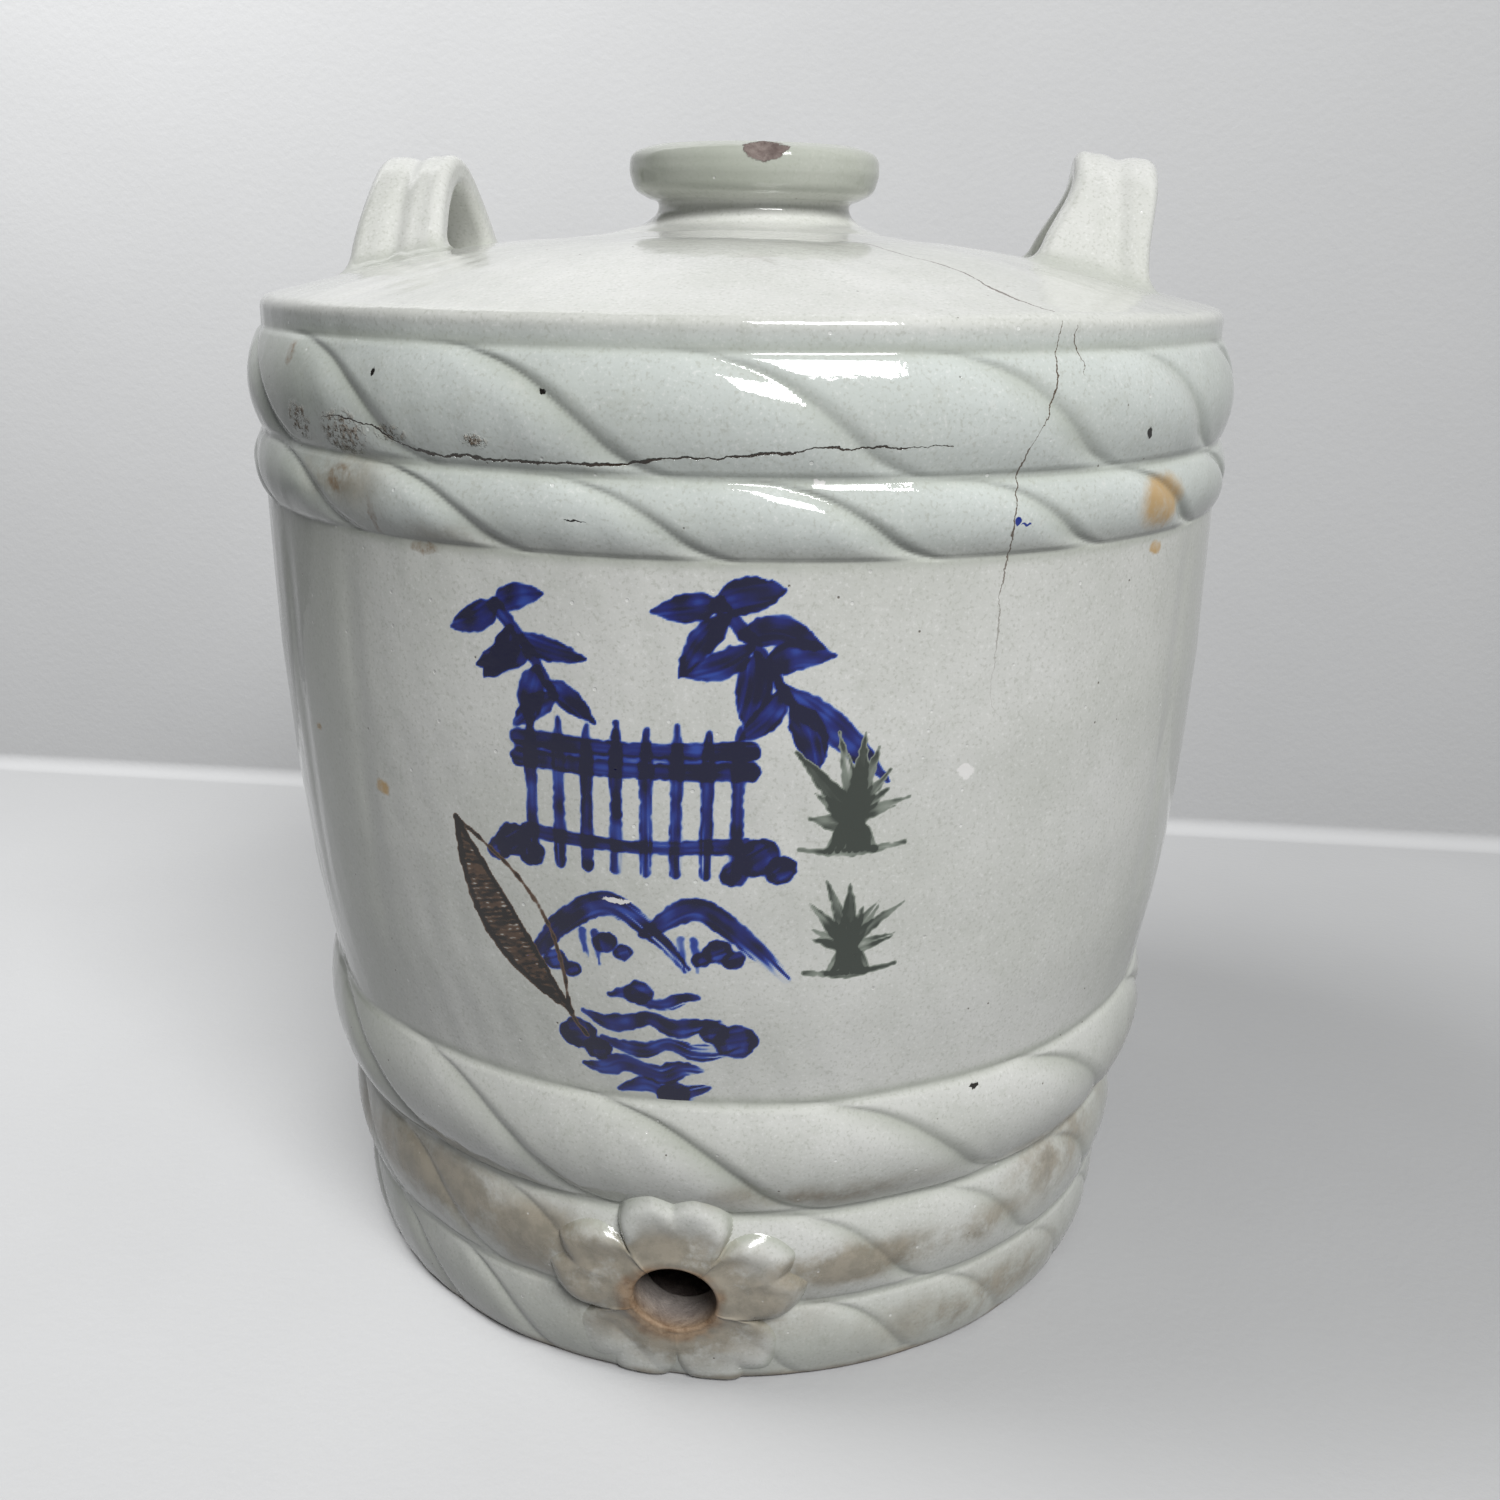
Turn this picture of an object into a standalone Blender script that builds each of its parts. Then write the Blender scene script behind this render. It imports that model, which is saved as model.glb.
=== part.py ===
"""Glazed stoneware sake jar in the form of a straw-roped barrel.

The potter's pieces are each their own solid, set together with a thin luting gap:
floor, barrel wall, five rope bands, shoulder, neck with its rolled lip, two strap
handles and the cherry-blossom boss around the spigot hole.

Frame: metres, +Z up, origin at the centre of the resting face. The spigot faces -Y
and the handles stand at -X and +X.
"""

import math

import bmesh
import bpy
from mathutils import Matrix, Vector

MM = 0.001

# Driving dimensions, in millimetres.
JAR_HEIGHT = 300.5          # resting face to the top of the lip
SHOULDER_RADIUS = 125.0     # sharp edge between the shoulder and the side
SHOULDER_HEIGHT = 262.0     # height of that edge
FOOT_RADIUS = 109.6         # outer radius of the resting face
WALL = 7.5                  # clay thickness of the barrel
LUTE = 0.35                 # gap left for the luting slip between two pieces

# Outer face of the bare wall, under the rope bands: (height, radius).
WALL_LINE = ((0.0, FOOT_RADIUS), (3.0, 110.0), (53.0, 112.0), (87.0, 118.6), (112.0, 122.8),
             (140.0, 125.2), (175.0, 126.9), (214.5, 127.4), (231.0, 126.2), (257.0, 125.6))

# Rope bands: name, bottom, top, radius at the crest, number of twists.
ROPES = (
    ("rope_band_foot", 4.0, 24.7, 113.6, 22),
    ("rope_band_lower", 25.1, 52.8, 116.2, 18),
    ("rope_band_waist", 53.2, 87.0, 121.8, 14),
    ("rope_band_upper", 214.8, 230.8, 130.0, 18),
    ("rope_band_shoulder", 231.6, 256.4, 130.0, 16),
)
ROPE_STEPS = 4              # facets along each twist, an even number
ROPE_ROWS = 2               # facets from mid-height to each edge
ROPE_EDGE = 0.9             # thickness of a band at its feathered edges
ROPE_GROOVE = 1.6           # depth of the groove between two strands

JOINT_HEIGHT = 231.0        # where the shoulder section is luted to the barrel wall
TONGUE = 7.0                # length of the shoulder's tongue inside the wall
ROUND_STEPS = 48            # facets around the barrel

# Shoulder: height falls from the neck to the edge as a power of the distance.
DOME_INNER_RADIUS = 50.0
DOME_RISE = 15.5
DOME_POWER = 1.6
NECK_SEAT_RADIUS = 44.0     # the neck's flared foot lies in a rebate of this radius
NECK_OPENING_RADIUS = 34.0
NECK_SEAT_DEPTH = 4.0

# Neck and lip.
BORE_RADIUS = 18.0
NECK_RADIUS = 25.5
LIP_RADIUS = 33.0
LIP_BOTTOM = 287.3
LIP_WIDEST = 295.3          # height of the lip's widest ring
LIP_ROLL = 5.5              # how far the lip swells beyond its rounded edges
NECK_STEPS = 36

# Strap handles: name, side, distance of the strap's middle from the jar's axis, top.
HANDLES = (("handle_left", -1, 88.5, 298.8), ("handle_right", 1, 95.0, 300.2))
STRAP_WIDTH = 21.0
STRAP_THICKNESS = 8.4
STRAP_GROOVE = 1.5          # depth of the finger groove along the strap
ARCH_SPREAD = 27.0          # half the width of the arch at its buried roots
ARCH_POWER = 1.8            # 2 would be a parabola
ARCH_BURIED = 6.0           # how far the roots run below the shoulder before they are trimmed
STRAP_STATIONS = 14
STRAP_POINTS = 14
FOOT_FLARE = 1.7            # how much wider the strap is where it meets the shoulder
FLARE_REACH = 9.0           # height over which the foot flares

# Spigot boss: a five-petalled blossom around the tap hole.
SPIGOT_HEIGHT = 28.2
SPIGOT_RADIUS = 10.2
PETALS = 5
PETAL_TIP = 33.0
PETAL_GAP = 22.5            # radius where two petals meet
PETAL_NOTCH = 2.6           # depth of the notch in each petal's tip
BOSS_PROUD = 7.0            # how far the face stands off the bare wall
BOSS_CLEAR_FLOOR = 1.2      # the boss stops this far above the resting face
BOSS_ANGLES = 80
BOSS_FACE_RADIUS = 14.5     # flat ring around the hole, where a tap's flange rests

FLOOR_UNDER = 3.0           # the floor is raised this far inside the foot ring
FLOOR_THICKNESS = 9.0
FOOT_RING = 8.0             # width of the resting face

GLAZE = (0.72, 0.74, 0.70)
BISQUE = (0.55, 0.47, 0.38)


def clear_scene():
    for obj in list(bpy.data.objects):
        bpy.data.objects.remove(obj, do_unlink=True)


def clay(name, colour, roughness):
    material = bpy.data.materials.get(name) or bpy.data.materials.new(name)
    material.use_nodes = True
    shader = material.node_tree.nodes["Principled BSDF"]
    shader.inputs["Base Color"].default_value = (*colour, 1.0)
    shader.inputs["Roughness"].default_value = roughness
    shader.inputs["Metallic"].default_value = 0.0
    return material


def add_object(name, bm, material):
    """Turns a bmesh into a named, smooth-shaded object."""
    bmesh.ops.recalc_face_normals(bm, faces=bm.faces)
    mesh = bpy.data.meshes.new(name)
    bm.to_mesh(mesh)
    bm.free()
    mesh.shade_smooth()
    mesh.set_sharp_from_angle(angle=math.radians(35))
    mesh.materials.append(material)
    obj = bpy.data.objects.new(name, mesh)
    bpy.context.scene.collection.objects.link(obj)
    return obj


def lathe(profile, steps):
    """Spins a closed (radius, height) outline about Z. Points on the axis are welded."""
    bm = bmesh.new()
    verts = [bm.verts.new((r * MM, 0.0, z * MM)) for r, z in profile]
    edges = [bm.edges.new((a, b)) for a, b in zip(verts, verts[1:] + verts[:1])]
    bmesh.ops.spin(bm, geom=verts + edges, axis=(0, 0, 1), cent=(0, 0, 0),
                   angle=2 * math.pi, steps=steps, use_merge=True)
    bmesh.ops.remove_doubles(bm, verts=bm.verts, dist=1e-6)
    return bm


def between(line, at):
    """Straight-line interpolation in a table of (position, value)."""
    for (a, va), (b, vb) in zip(line, line[1:]):
        if at <= b:
            return va + (vb - va) * max(0.0, at - a) / (b - a)
    return line[-1][1]


def wall_radius(height):
    return between(WALL_LINE, height)


def dome_height(radius):
    """Height of the shoulder's upper face at a distance from the axis."""
    span = SHOULDER_RADIUS - 2.0 - DOME_INNER_RADIUS
    share = max(0.0, (radius - DOME_INNER_RADIUS) / span)
    return SHOULDER_HEIGHT + DOME_RISE * (1.0 - share ** DOME_POWER)


def cut(target, cutter):
    modifier = target.modifiers.new("cut_" + cutter.name, "BOOLEAN")
    modifier.operation = "DIFFERENCE"
    modifier.solver = "EXACT"
    modifier.object = cutter


def as_cutter(obj):
    obj.hide_render = True
    obj.display_type = "WIRE"
    return obj


# --- Barrel ---------------------------------------------------------------------------

def build_floor(material):
    radius = FOOT_RADIUS - FOOT_RING - LUTE
    top = FLOOR_UNDER + FLOOR_THICKNESS
    outline = [(0.0, FLOOR_UNDER), (radius, FLOOR_UNDER), (radius, top - 1.0),
               (radius - 1.0, top), (0.0, top)]
    bm = bmesh.new()
    verts = [bm.verts.new((r * MM, 0.0, z * MM)) for r, z in outline]
    edges = [bm.edges.new(pair) for pair in zip(verts, verts[1:])]
    bmesh.ops.spin(bm, geom=verts + edges, axis=(0, 0, 1), cent=(0, 0, 0),
                   angle=2 * math.pi, steps=ROUND_STEPS, use_merge=True)
    bmesh.ops.remove_doubles(bm, verts=bm.verts, dist=1e-6)
    return add_object("floor_disc", bm, material)


def build_wall(material):
    heights = [z for z, _ in WALL_LINE if 0.0 < z < JOINT_HEIGHT]
    outer = [(wall_radius(z), z) for z in heights]
    outer.append((wall_radius(JOINT_HEIGHT) - 0.4, JOINT_HEIGHT - LUTE))
    ring = FOOT_RADIUS - FOOT_RING
    rebate = wall_radius(JOINT_HEIGHT) - WALL / 2
    inner = [(rebate, JOINT_HEIGHT - LUTE), (rebate, JOINT_HEIGHT - TONGUE - LUTE)]
    inner += [(wall_radius(z) - WALL, z) for z in (JOINT_HEIGHT - TONGUE - LUTE, 175.0, 112.0, 60.0)]
    inner += [(ring + 1.5, 24.0), (ring, 16.0)]
    profile = [(ring, 0.0), (FOOT_RADIUS - 1.0, 0.0), (FOOT_RADIUS, 1.0)] + outer + inner
    return add_object("barrel_wall", lathe(profile, ROUND_STEPS), material)


def build_rope(name, bottom, top, crest, twists, material):
    """A ring seated on the bare wall, its outer face moulded as leaning strands.

    Each strand leans by half a twist from mid-height to either edge, so the columns of
    the face meet the columns of the seat again at the edges, half a twist further on.
    """
    columns = twists * ROPE_STEPS
    middle, half = (bottom + top) / 2, (top - bottom) / 2
    facet = 1.0 / math.cos(math.pi / columns)
    bm = bmesh.new()

    def ring(height, radius_at, lean):
        turns = [(k + lean * ROPE_STEPS / 2) * 2 * math.pi / columns for k in range(columns)]
        return [bm.verts.new((radius_at(k) * math.sin(t) * MM, -radius_at(k) * math.cos(t) * MM,
                              height * MM)) for k, t in enumerate(turns)]

    def seat(height):
        return (wall_radius(height) + LUTE) * facet

    def bridge(a, b, offset=0):
        for k in range(columns):
            n, i, j = k + 1, k + offset, k + 1 + offset
            bm.faces.new((a[k], a[n % columns], b[j % columns], b[i % columns]))

    rings = []
    for row in range(-ROPE_ROWS, ROPE_ROWS + 1):
        share = row / ROPE_ROWS
        height = middle + half * math.sin(math.pi / 2 * share)
        crown = math.cos(math.pi / 2 * share)

        def face_radius(k, crown=crown, height=height):
            strand = abs(math.sin(math.pi * k / ROPE_STEPS)) ** 0.6
            swell = (crest - wall_radius(height) - ROPE_GROOVE * (1.0 - strand)) * crown
            return seat(height) + max(ROPE_EDGE, swell)

        rings.append(ring(height, face_radius, -share))
    low = ring(bottom, lambda k: seat(bottom), 0)
    high = ring(top, lambda k: seat(top), 0)
    bridge(high, low)
    bridge(low, rings[0], -ROPE_STEPS // 2)
    for a, b in zip(rings, rings[1:]):
        bridge(a, b)
    bridge(rings[-1], high, -ROPE_STEPS // 2)
    return add_object(name, bm, material)


# --- Shoulder and neck ----------------------------------------------------------------

def build_shoulder(material):
    edge = SHOULDER_RADIUS
    side = [(wall_radius(JOINT_HEIGHT) - 0.4, JOINT_HEIGHT), (wall_radius(257.0), 256.9),
            (edge + 0.3, 258.0), (edge, 260.6), (edge - 0.8, 261.7), (edge - 2.0, SHOULDER_HEIGHT)]
    radii = [116.0, 106.0, 94.0, 82.0, 70.0, 58.0, 50.0]
    top = [(r, dome_height(r)) for r in radii]
    lip = dome_height(NECK_SEAT_RADIUS)
    seat = [(NECK_SEAT_RADIUS + LUTE, lip - 0.2), (NECK_SEAT_RADIUS + LUTE, lip - NECK_SEAT_DEPTH),
            (NECK_OPENING_RADIUS, lip - NECK_SEAT_DEPTH), (NECK_OPENING_RADIUS, lip - WALL - 1.5)]
    under = [(r, dome_height(r) - WALL) for r in (58.0, 82.0, 106.0)]
    inside = wall_radius(JOINT_HEIGHT) - WALL
    tongue = wall_radius(JOINT_HEIGHT) - WALL / 2 - LUTE
    skirt = [(inside, 250.0), (inside, JOINT_HEIGHT - TONGUE), (tongue, JOINT_HEIGHT - TONGUE),
             (tongue, JOINT_HEIGHT)]
    return add_object("shoulder_dome", lathe(side + top + seat + under + skirt, ROUND_STEPS), material)


def build_neck(material):
    """Neck and rolled lip, thrown in one piece, with a flared foot in the shoulder's rebate."""
    seat = dome_height(NECK_SEAT_RADIUS)
    flare = [(NECK_SEAT_RADIUS, seat + 0.3), (37.0, seat + 1.7), (31.0, seat + 3.9),
             (27.5, seat + 5.8), (NECK_RADIUS, seat + 8.0), (NECK_RADIUS, LIP_BOTTOM)]
    shoulder = LIP_RADIUS - LIP_ROLL
    under = [math.radians(a) for a in range(-75, 0, 25)]
    over = [math.radians(a) for a in range(0, 76, 25)]
    bulge = [(shoulder + LIP_ROLL * math.cos(a), LIP_WIDEST + (LIP_WIDEST - LIP_BOTTOM) * math.sin(a))
             for a in under]
    bulge += [(shoulder + LIP_ROLL * math.cos(a), LIP_WIDEST + (JAR_HEIGHT - LIP_WIDEST) * math.sin(a))
              for a in over]
    top = [(shoulder, JAR_HEIGHT), (BORE_RADIUS + 2.0, JAR_HEIGHT), (BORE_RADIUS, JAR_HEIGHT - 2.0)]
    seated = seat - NECK_SEAT_DEPTH + LUTE
    foot = [(BORE_RADIUS, seated - 5.0), (NECK_OPENING_RADIUS - LUTE - 1.0, seated - 5.0),
            (NECK_OPENING_RADIUS - LUTE, seated), (NECK_SEAT_RADIUS, seated)]
    return add_object("neck_and_lip", lathe(flare + bulge + top + foot, NECK_STEPS), material)


# --- Handles --------------------------------------------------------------------------

def strap_section(width, thickness, groove):
    """Outline of the strap: a flattened oval with a groove in its outer face."""
    points = []
    for k in range(STRAP_POINTS):
        turn = 2 * math.pi * k / STRAP_POINTS
        across = math.copysign(abs(math.cos(turn)) ** 0.8, math.cos(turn)) * width / 2
        depth = math.copysign(abs(math.sin(turn)) ** 0.8, math.sin(turn)) * thickness / 2
        if depth > 0:
            depth -= groove * math.exp(-(across / (0.16 * width)) ** 2)
        points.append((across, depth))
    return points


def build_handle(name, side, radius, top, dome_cutter, material):
    """A strap swept along an arch, flared at both feet and trimmed to the shoulder."""
    base = dome_height(radius)
    crown = top - STRAP_THICKNESS / 2
    drop = crown - base + ARCH_BURIED

    def centre(share):
        return Vector((ARCH_SPREAD * share, crown - drop * abs(share) ** ARCH_POWER))

    bm = bmesh.new()
    rings = []
    for k in range(STRAP_STATIONS + 1):
        share = 2 * k / STRAP_STATIONS - 1
        middle = centre(share)
        tangent = (centre(share + 0.01) - centre(share - 0.01)).normalized()
        outward = Vector((-tangent.y, tangent.x))
        low = max(0.0, min(1.0, 1.0 - (middle.y - base) / FLARE_REACH))
        flare = 1.0 + (FOOT_FLARE - 1.0) * low * low
        section = strap_section(STRAP_WIDTH * flare, STRAP_THICKNESS * flare, STRAP_GROOVE * (1 - low))
        rings.append([bm.verts.new(((side * radius + across) * MM,
                                    (middle.x + outward.x * depth) * MM,
                                    (middle.y + outward.y * depth) * MM))
                      for across, depth in section])
    for a, b in zip(rings, rings[1:]):
        for k in range(STRAP_POINTS):
            n = (k + 1) % STRAP_POINTS
            bm.faces.new((a[k], a[n], b[n], b[k]))
    bm.faces.new(rings[0])
    bm.faces.new(rings[-1])
    handle = add_object(name, bm, material)
    cut(handle, dome_cutter)
    return handle


def build_dome_cutter(material):
    """The shoulder's upper face raised by the luting gap, closed well below it."""
    radii = [122.0, 116.0, 106.0, 94.0, 82.0, 70.0, 58.0, 50.0]
    top = [(r, dome_height(r) + LUTE) for r in radii]
    profile = [(122.0, 240.0)] + top + [(50.0, 240.0)]
    return as_cutter(add_object("dome_cutter", lathe(profile, ROUND_STEPS), material))


# --- Spigot boss ----------------------------------------------------------------------

def blossom_radius(turn, grow=0.0):
    """Outline of the boss: petals rounded by a sine, notched at the tip, cut at the floor."""
    share = (PETALS * (turn - math.pi / 2) / (2 * math.pi)) % 1.0
    from_tip = 2 * min(share, 1.0 - share)
    lobe = PETAL_GAP + (PETAL_TIP - PETAL_GAP) * math.sqrt(max(0.0, 1.0 - from_tip ** 2.6))
    radius = lobe - PETAL_NOTCH * math.exp(-(from_tip / 0.13) ** 2) + grow
    if math.sin(turn) < -0.05:
        radius = min(radius, (SPIGOT_HEIGHT - BOSS_CLEAR_FLOOR + grow) / -math.sin(turn))
    return radius


def boss_point(turn, radius, proud):
    """A point over the wall, at a place in the blossom's plane and a height off the wall."""
    x = radius * math.cos(turn)
    z = SPIGOT_HEIGHT + radius * math.sin(turn)
    reach = wall_radius(z) + proud
    return Vector((x * MM, -math.sqrt(reach * reach - x * x) * MM, z * MM))


def build_boss(material):
    """Petals swell off the wall and flatten into a ring around the hole."""
    bm = bmesh.new()
    turns = [2 * math.pi * k / BOSS_ANGLES for k in range(BOSS_ANGLES)]
    face_y = -(wall_radius(SPIGOT_HEIGHT) + BOSS_PROUD) * MM

    def ring(place):
        return [bm.verts.new(place(t)) for t in turns]

    def flat(radius):
        return lambda t: (radius * math.cos(t) * MM, face_y,
                          (SPIGOT_HEIGHT + radius * math.sin(t)) * MM)

    def petal(share, proud):
        return lambda t: boss_point(t, BOSS_FACE_RADIUS + (blossom_radius(t) - BOSS_FACE_RADIUS) * share,
                                    proud)

    rings = [
        ring(lambda t: boss_point(t, SPIGOT_RADIUS, LUTE)),
        ring(flat(SPIGOT_RADIUS)),
        ring(flat(BOSS_FACE_RADIUS)),
        ring(petal(0.35, BOSS_PROUD - 0.2)),
        ring(petal(0.72, BOSS_PROUD - 0.9)),
        ring(petal(0.93, BOSS_PROUD - 2.4)),
        ring(petal(1.0, BOSS_PROUD - 4.4)),
        ring(petal(1.0, LUTE)),
        ring(petal(0.5, LUTE)),
    ]
    for a, b in zip(rings, rings[1:] + rings[:1]):
        for k in range(BOSS_ANGLES):
            n = (k + 1) % BOSS_ANGLES
            bm.faces.new((a[k], a[n], b[n], b[k]))
    return add_object("spigot_boss", bm, material)


def clearance_radius(turn):
    """The boss's outline with a luting gap; between the two lower petals it drops straight down."""
    radius = blossom_radius(turn, LUTE)
    if math.sin(turn) < -math.cos(math.pi / PETALS):
        radius = max(radius, SPIGOT_HEIGHT / -math.sin(turn))
    return radius


def build_blossom_cutter(material):
    """A prism which clears the rope bands away from the boss."""
    bm = bmesh.new()
    turns = [2 * math.pi * k / BOSS_ANGLES for k in range(BOSS_ANGLES)]
    ends = []
    for y in (-150.0, -90.0):
        ends.append([bm.verts.new((clearance_radius(t) * math.cos(t) * MM, y * MM,
                                   (SPIGOT_HEIGHT + clearance_radius(t) * math.sin(t)) * MM))
                     for t in turns])
    bm.faces.new(ends[0])
    bm.faces.new(ends[1])
    for k in range(BOSS_ANGLES):
        n = (k + 1) % BOSS_ANGLES
        bm.faces.new((ends[0][k], ends[0][n], ends[1][n], ends[1][k]))
    return as_cutter(add_object("blossom_cutter", bm, material))


def build_hole_cutter(material):
    bm = bmesh.new()
    bmesh.ops.create_cone(bm, cap_ends=True, segments=BOSS_ANGLES // 2,
                          radius1=SPIGOT_RADIUS * MM, radius2=SPIGOT_RADIUS * MM, depth=60 * MM)
    bmesh.ops.rotate(bm, verts=bm.verts, matrix=Matrix.Rotation(math.pi / 2, 3, "X"))
    bmesh.ops.translate(bm, verts=bm.verts, vec=(0.0, -FOOT_RADIUS * MM, SPIGOT_HEIGHT * MM))
    return as_cutter(add_object("spigot_hole_cutter", bm, material))


def main():
    clear_scene()
    glaze = clay("celadon_glaze", GLAZE, 0.18)
    bisque = clay("bare_clay", BISQUE, 0.8)

    build_floor(bisque)
    wall = build_wall(glaze)
    build_shoulder(glaze)
    build_neck(glaze)

    dome_cutter = build_dome_cutter(bisque)
    for name, side, radius, top in HANDLES:
        build_handle(name, side, radius, top, dome_cutter, glaze)

    build_boss(glaze)
    cut(wall, build_hole_cutter(bisque))
    blossom_cutter = build_blossom_cutter(bisque)
    for name, bottom, top, crest, twists in ROPES:
        rope = build_rope(name, bottom, top, crest, twists, glaze)
        if bottom < SPIGOT_HEIGHT + PETAL_TIP:
            cut(rope, blossom_cutter)


main()
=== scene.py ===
"""A large glazed stoneware sake jar: its fine surface, celadon glaze, brush painting and wear.

Lengths are in millimetres until a mesh is made. The jar's axis is Z, and the turn angle phi is 0 at the
front (-Y) and grows towards +X. The jar's outside is one skin, skin(phi, run), where run is the length
along the profile from under the foot, up the wall, over the shoulder and the lip, and down the bore.
"""

import bpy
import numpy as np
from mathutils import Matrix, Vector


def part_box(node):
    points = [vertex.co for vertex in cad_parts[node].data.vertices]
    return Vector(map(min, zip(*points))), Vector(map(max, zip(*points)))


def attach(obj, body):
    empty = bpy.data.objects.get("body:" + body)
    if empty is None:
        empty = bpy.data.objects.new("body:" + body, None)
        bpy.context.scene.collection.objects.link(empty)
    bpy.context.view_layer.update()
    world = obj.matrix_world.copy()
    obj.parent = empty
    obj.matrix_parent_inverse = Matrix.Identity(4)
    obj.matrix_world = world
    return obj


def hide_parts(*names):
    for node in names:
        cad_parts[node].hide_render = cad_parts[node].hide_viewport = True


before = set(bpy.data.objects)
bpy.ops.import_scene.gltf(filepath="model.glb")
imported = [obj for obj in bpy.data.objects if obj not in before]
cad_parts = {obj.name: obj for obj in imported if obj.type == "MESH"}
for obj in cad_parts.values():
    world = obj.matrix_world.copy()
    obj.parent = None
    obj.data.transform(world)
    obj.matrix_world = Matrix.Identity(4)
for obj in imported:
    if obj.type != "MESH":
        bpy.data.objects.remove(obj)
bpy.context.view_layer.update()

MM = 0.001
TURN = 2 * np.pi


def smooth(low, high, value):
    """0 before low, 1 after high, easing between; low may be the larger."""
    share = np.clip((value - low) / (high - low), 0, 1)
    return share * share * (3 - 2 * share)


def hump(offset, width):
    """1 where the offset is 0, falling off over a width."""
    return np.exp(-((offset / width) ** 2))


def unit(vectors):
    """Vectors along the last axis, scaled to length 1."""
    return vectors / np.maximum(np.linalg.norm(vectors, axis=-1), 1e-9)[..., None]


def turned(radius, phi, z):
    """Points at a radius, turn and height."""
    return np.stack(np.broadcast_arrays(radius * np.sin(phi), -radius * np.cos(phi), z), -1)


# ---------------------------------------------------------------- the frame's sizes


def box_mm(node):
    """Lowest and highest corner of a CAD node."""
    low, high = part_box(node)
    return np.array(low) / MM, np.array(high) / MM


def node_points(node):
    """A CAD node's vertices, as turn radius and height."""
    points = np.array([v.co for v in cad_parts[node].data.vertices]) / MM
    return np.hypot(points[:, 0], points[:, 1]), points[:, 2]


def outline_of(across, along):
    """The outermost line of a turned CAD node: for each value of `across`, the largest `along`."""
    keys = np.unique(np.round(across, 1))
    return [(k, along[np.abs(across - k) < 0.06].max()) for k in keys]


wall_radii, wall_heights = node_points("barrel_wall")
dome_radii, dome_heights = node_points("shoulder_dome")
FOOT_RADIUS = wall_radii[wall_heights < 0.5].max()
WALL_THICKNESS = 7.5
waist_top = box_mm("rope_band_waist")[1][2]
upper_bottom = box_mm("rope_band_upper")[0][2]
SHOULDER_TOP = dome_heights[dome_radii > dome_radii.max() - 3].max()
SHOULDER_RADIUS = dome_radii[dome_heights > SHOULDER_TOP - 1.5].max()
JAR_TOP = box_mm("neck_and_lip")[1][2]
neck_radii, neck_heights = node_points("neck_and_lip")
LIP_RADIUS = neck_radii[neck_heights > JAR_TOP - 9].max()
HOLE_HEIGHT = 28.2
HOLE_WALL_RADIUS = 113.0  # the wall's radius by the tap hole, for turning distances into turn angles
SEAM_RADIUS = 44.0  # where the shoulder's piece ends and the neck's begins
BORE_RADIUS = 18.0


# ---------------------------------------------------------------- the rope bands

# node, twists round the band, turn of one groove and its lean over the band's height in degrees, groove depth,
# and how far the creases below and above the band lie under its crest
ROPES = (
    ("rope_band_foot", 22, 10.5, 16.0, 1.0, 3.2, 1.1),
    ("rope_band_lower", 18, 5.7, 20.0, 1.1, 3.7, 1.7),
    ("rope_band_waist", 14, 7.1, 28.0, 1.6, 7.0, 2.5),
    ("rope_band_upper", 18, -1.8, 17.5, 1.7, 2.6, 2.5),
    ("rope_band_shoulder", 16, -8.8, 21.0, 1.6, 2.6, 4.3),
)
# shares of a strand over which it rises from one groove and falls to the next
STRAND_RISE, STRAND_DROP = 0.13, 0.27


class Rope:
    """One moulded band of twisted rope."""

    def __init__(self, node, twists, first, lean, groove, crease_below, crease_above):
        low, high = box_mm(node)
        self.node, self.twists, self.groove = node, twists, groove
        self.bottom, self.top = low[2], high[2]
        self.crest = max(-low[1], high[1])
        self.first, self.lean = np.radians(first), np.radians(lean)
        self.radius_below = self.crest - crease_below
        self.radius_above = self.crest - crease_above

    def strand(self, phi, across):
        """Height share of the twisted strands: 0 in the grooves, 1 on the strands' backs."""
        slope = across * (0.66 + 0.42 * across**4) + 0.16 * across**2
        sway = np.radians(1.2) * np.sin(2 * phi + self.twists)
        place = (phi + sway - self.first + 0.5 * self.lean * slope) * self.twists / TURN
        share = place - np.floor(place)
        rise = 1 - np.maximum(0, 1 - share / STRAND_RISE) ** 2
        drop = 1 - np.maximum(0, (share - 1) / STRAND_DROP + 1) ** 2.1
        height = (0.76 * rise + 0.24 * smooth(0, 0.7, share)) * drop
        return height * height / (height + 0.15) * 1.15

    def lift(self, phi, z):
        """How far the band stands proud of the line between its creases, and the depth in a groove, 0 to 1."""
        across = np.clip((2 * z - self.bottom - self.top) / (self.top - self.bottom), -1, 1)
        proud = self.crest - 0.5 * (self.radius_below + self.radius_above)
        fade = 1 - across**6
        uneven = 0.86 + 0.24 * np.sin(5 * phi + self.twists) * np.cos(3 * phi + across)
        valley = (1 - self.strand(phi, across)) * fade * uneven
        bulge = proud * np.maximum(0, 1 - across**2) * smooth(1.0, 0.86, np.abs(across))
        return bulge - self.groove * valley, valley


ropes = [Rope(*row) for row in ROPES]
foot, lower, waist, upper, shoulder = ropes
lower.bottom = foot.top = 0.5 * (lower.bottom + foot.top)
waist.bottom = lower.top = 0.5 * (waist.bottom + lower.top)
shoulder.bottom = upper.top = 0.5 * (shoulder.bottom + upper.top)
foot_seat = foot.bottom
foot.bottom = -1.0


# ---------------------------------------------------------------- the profile


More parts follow.
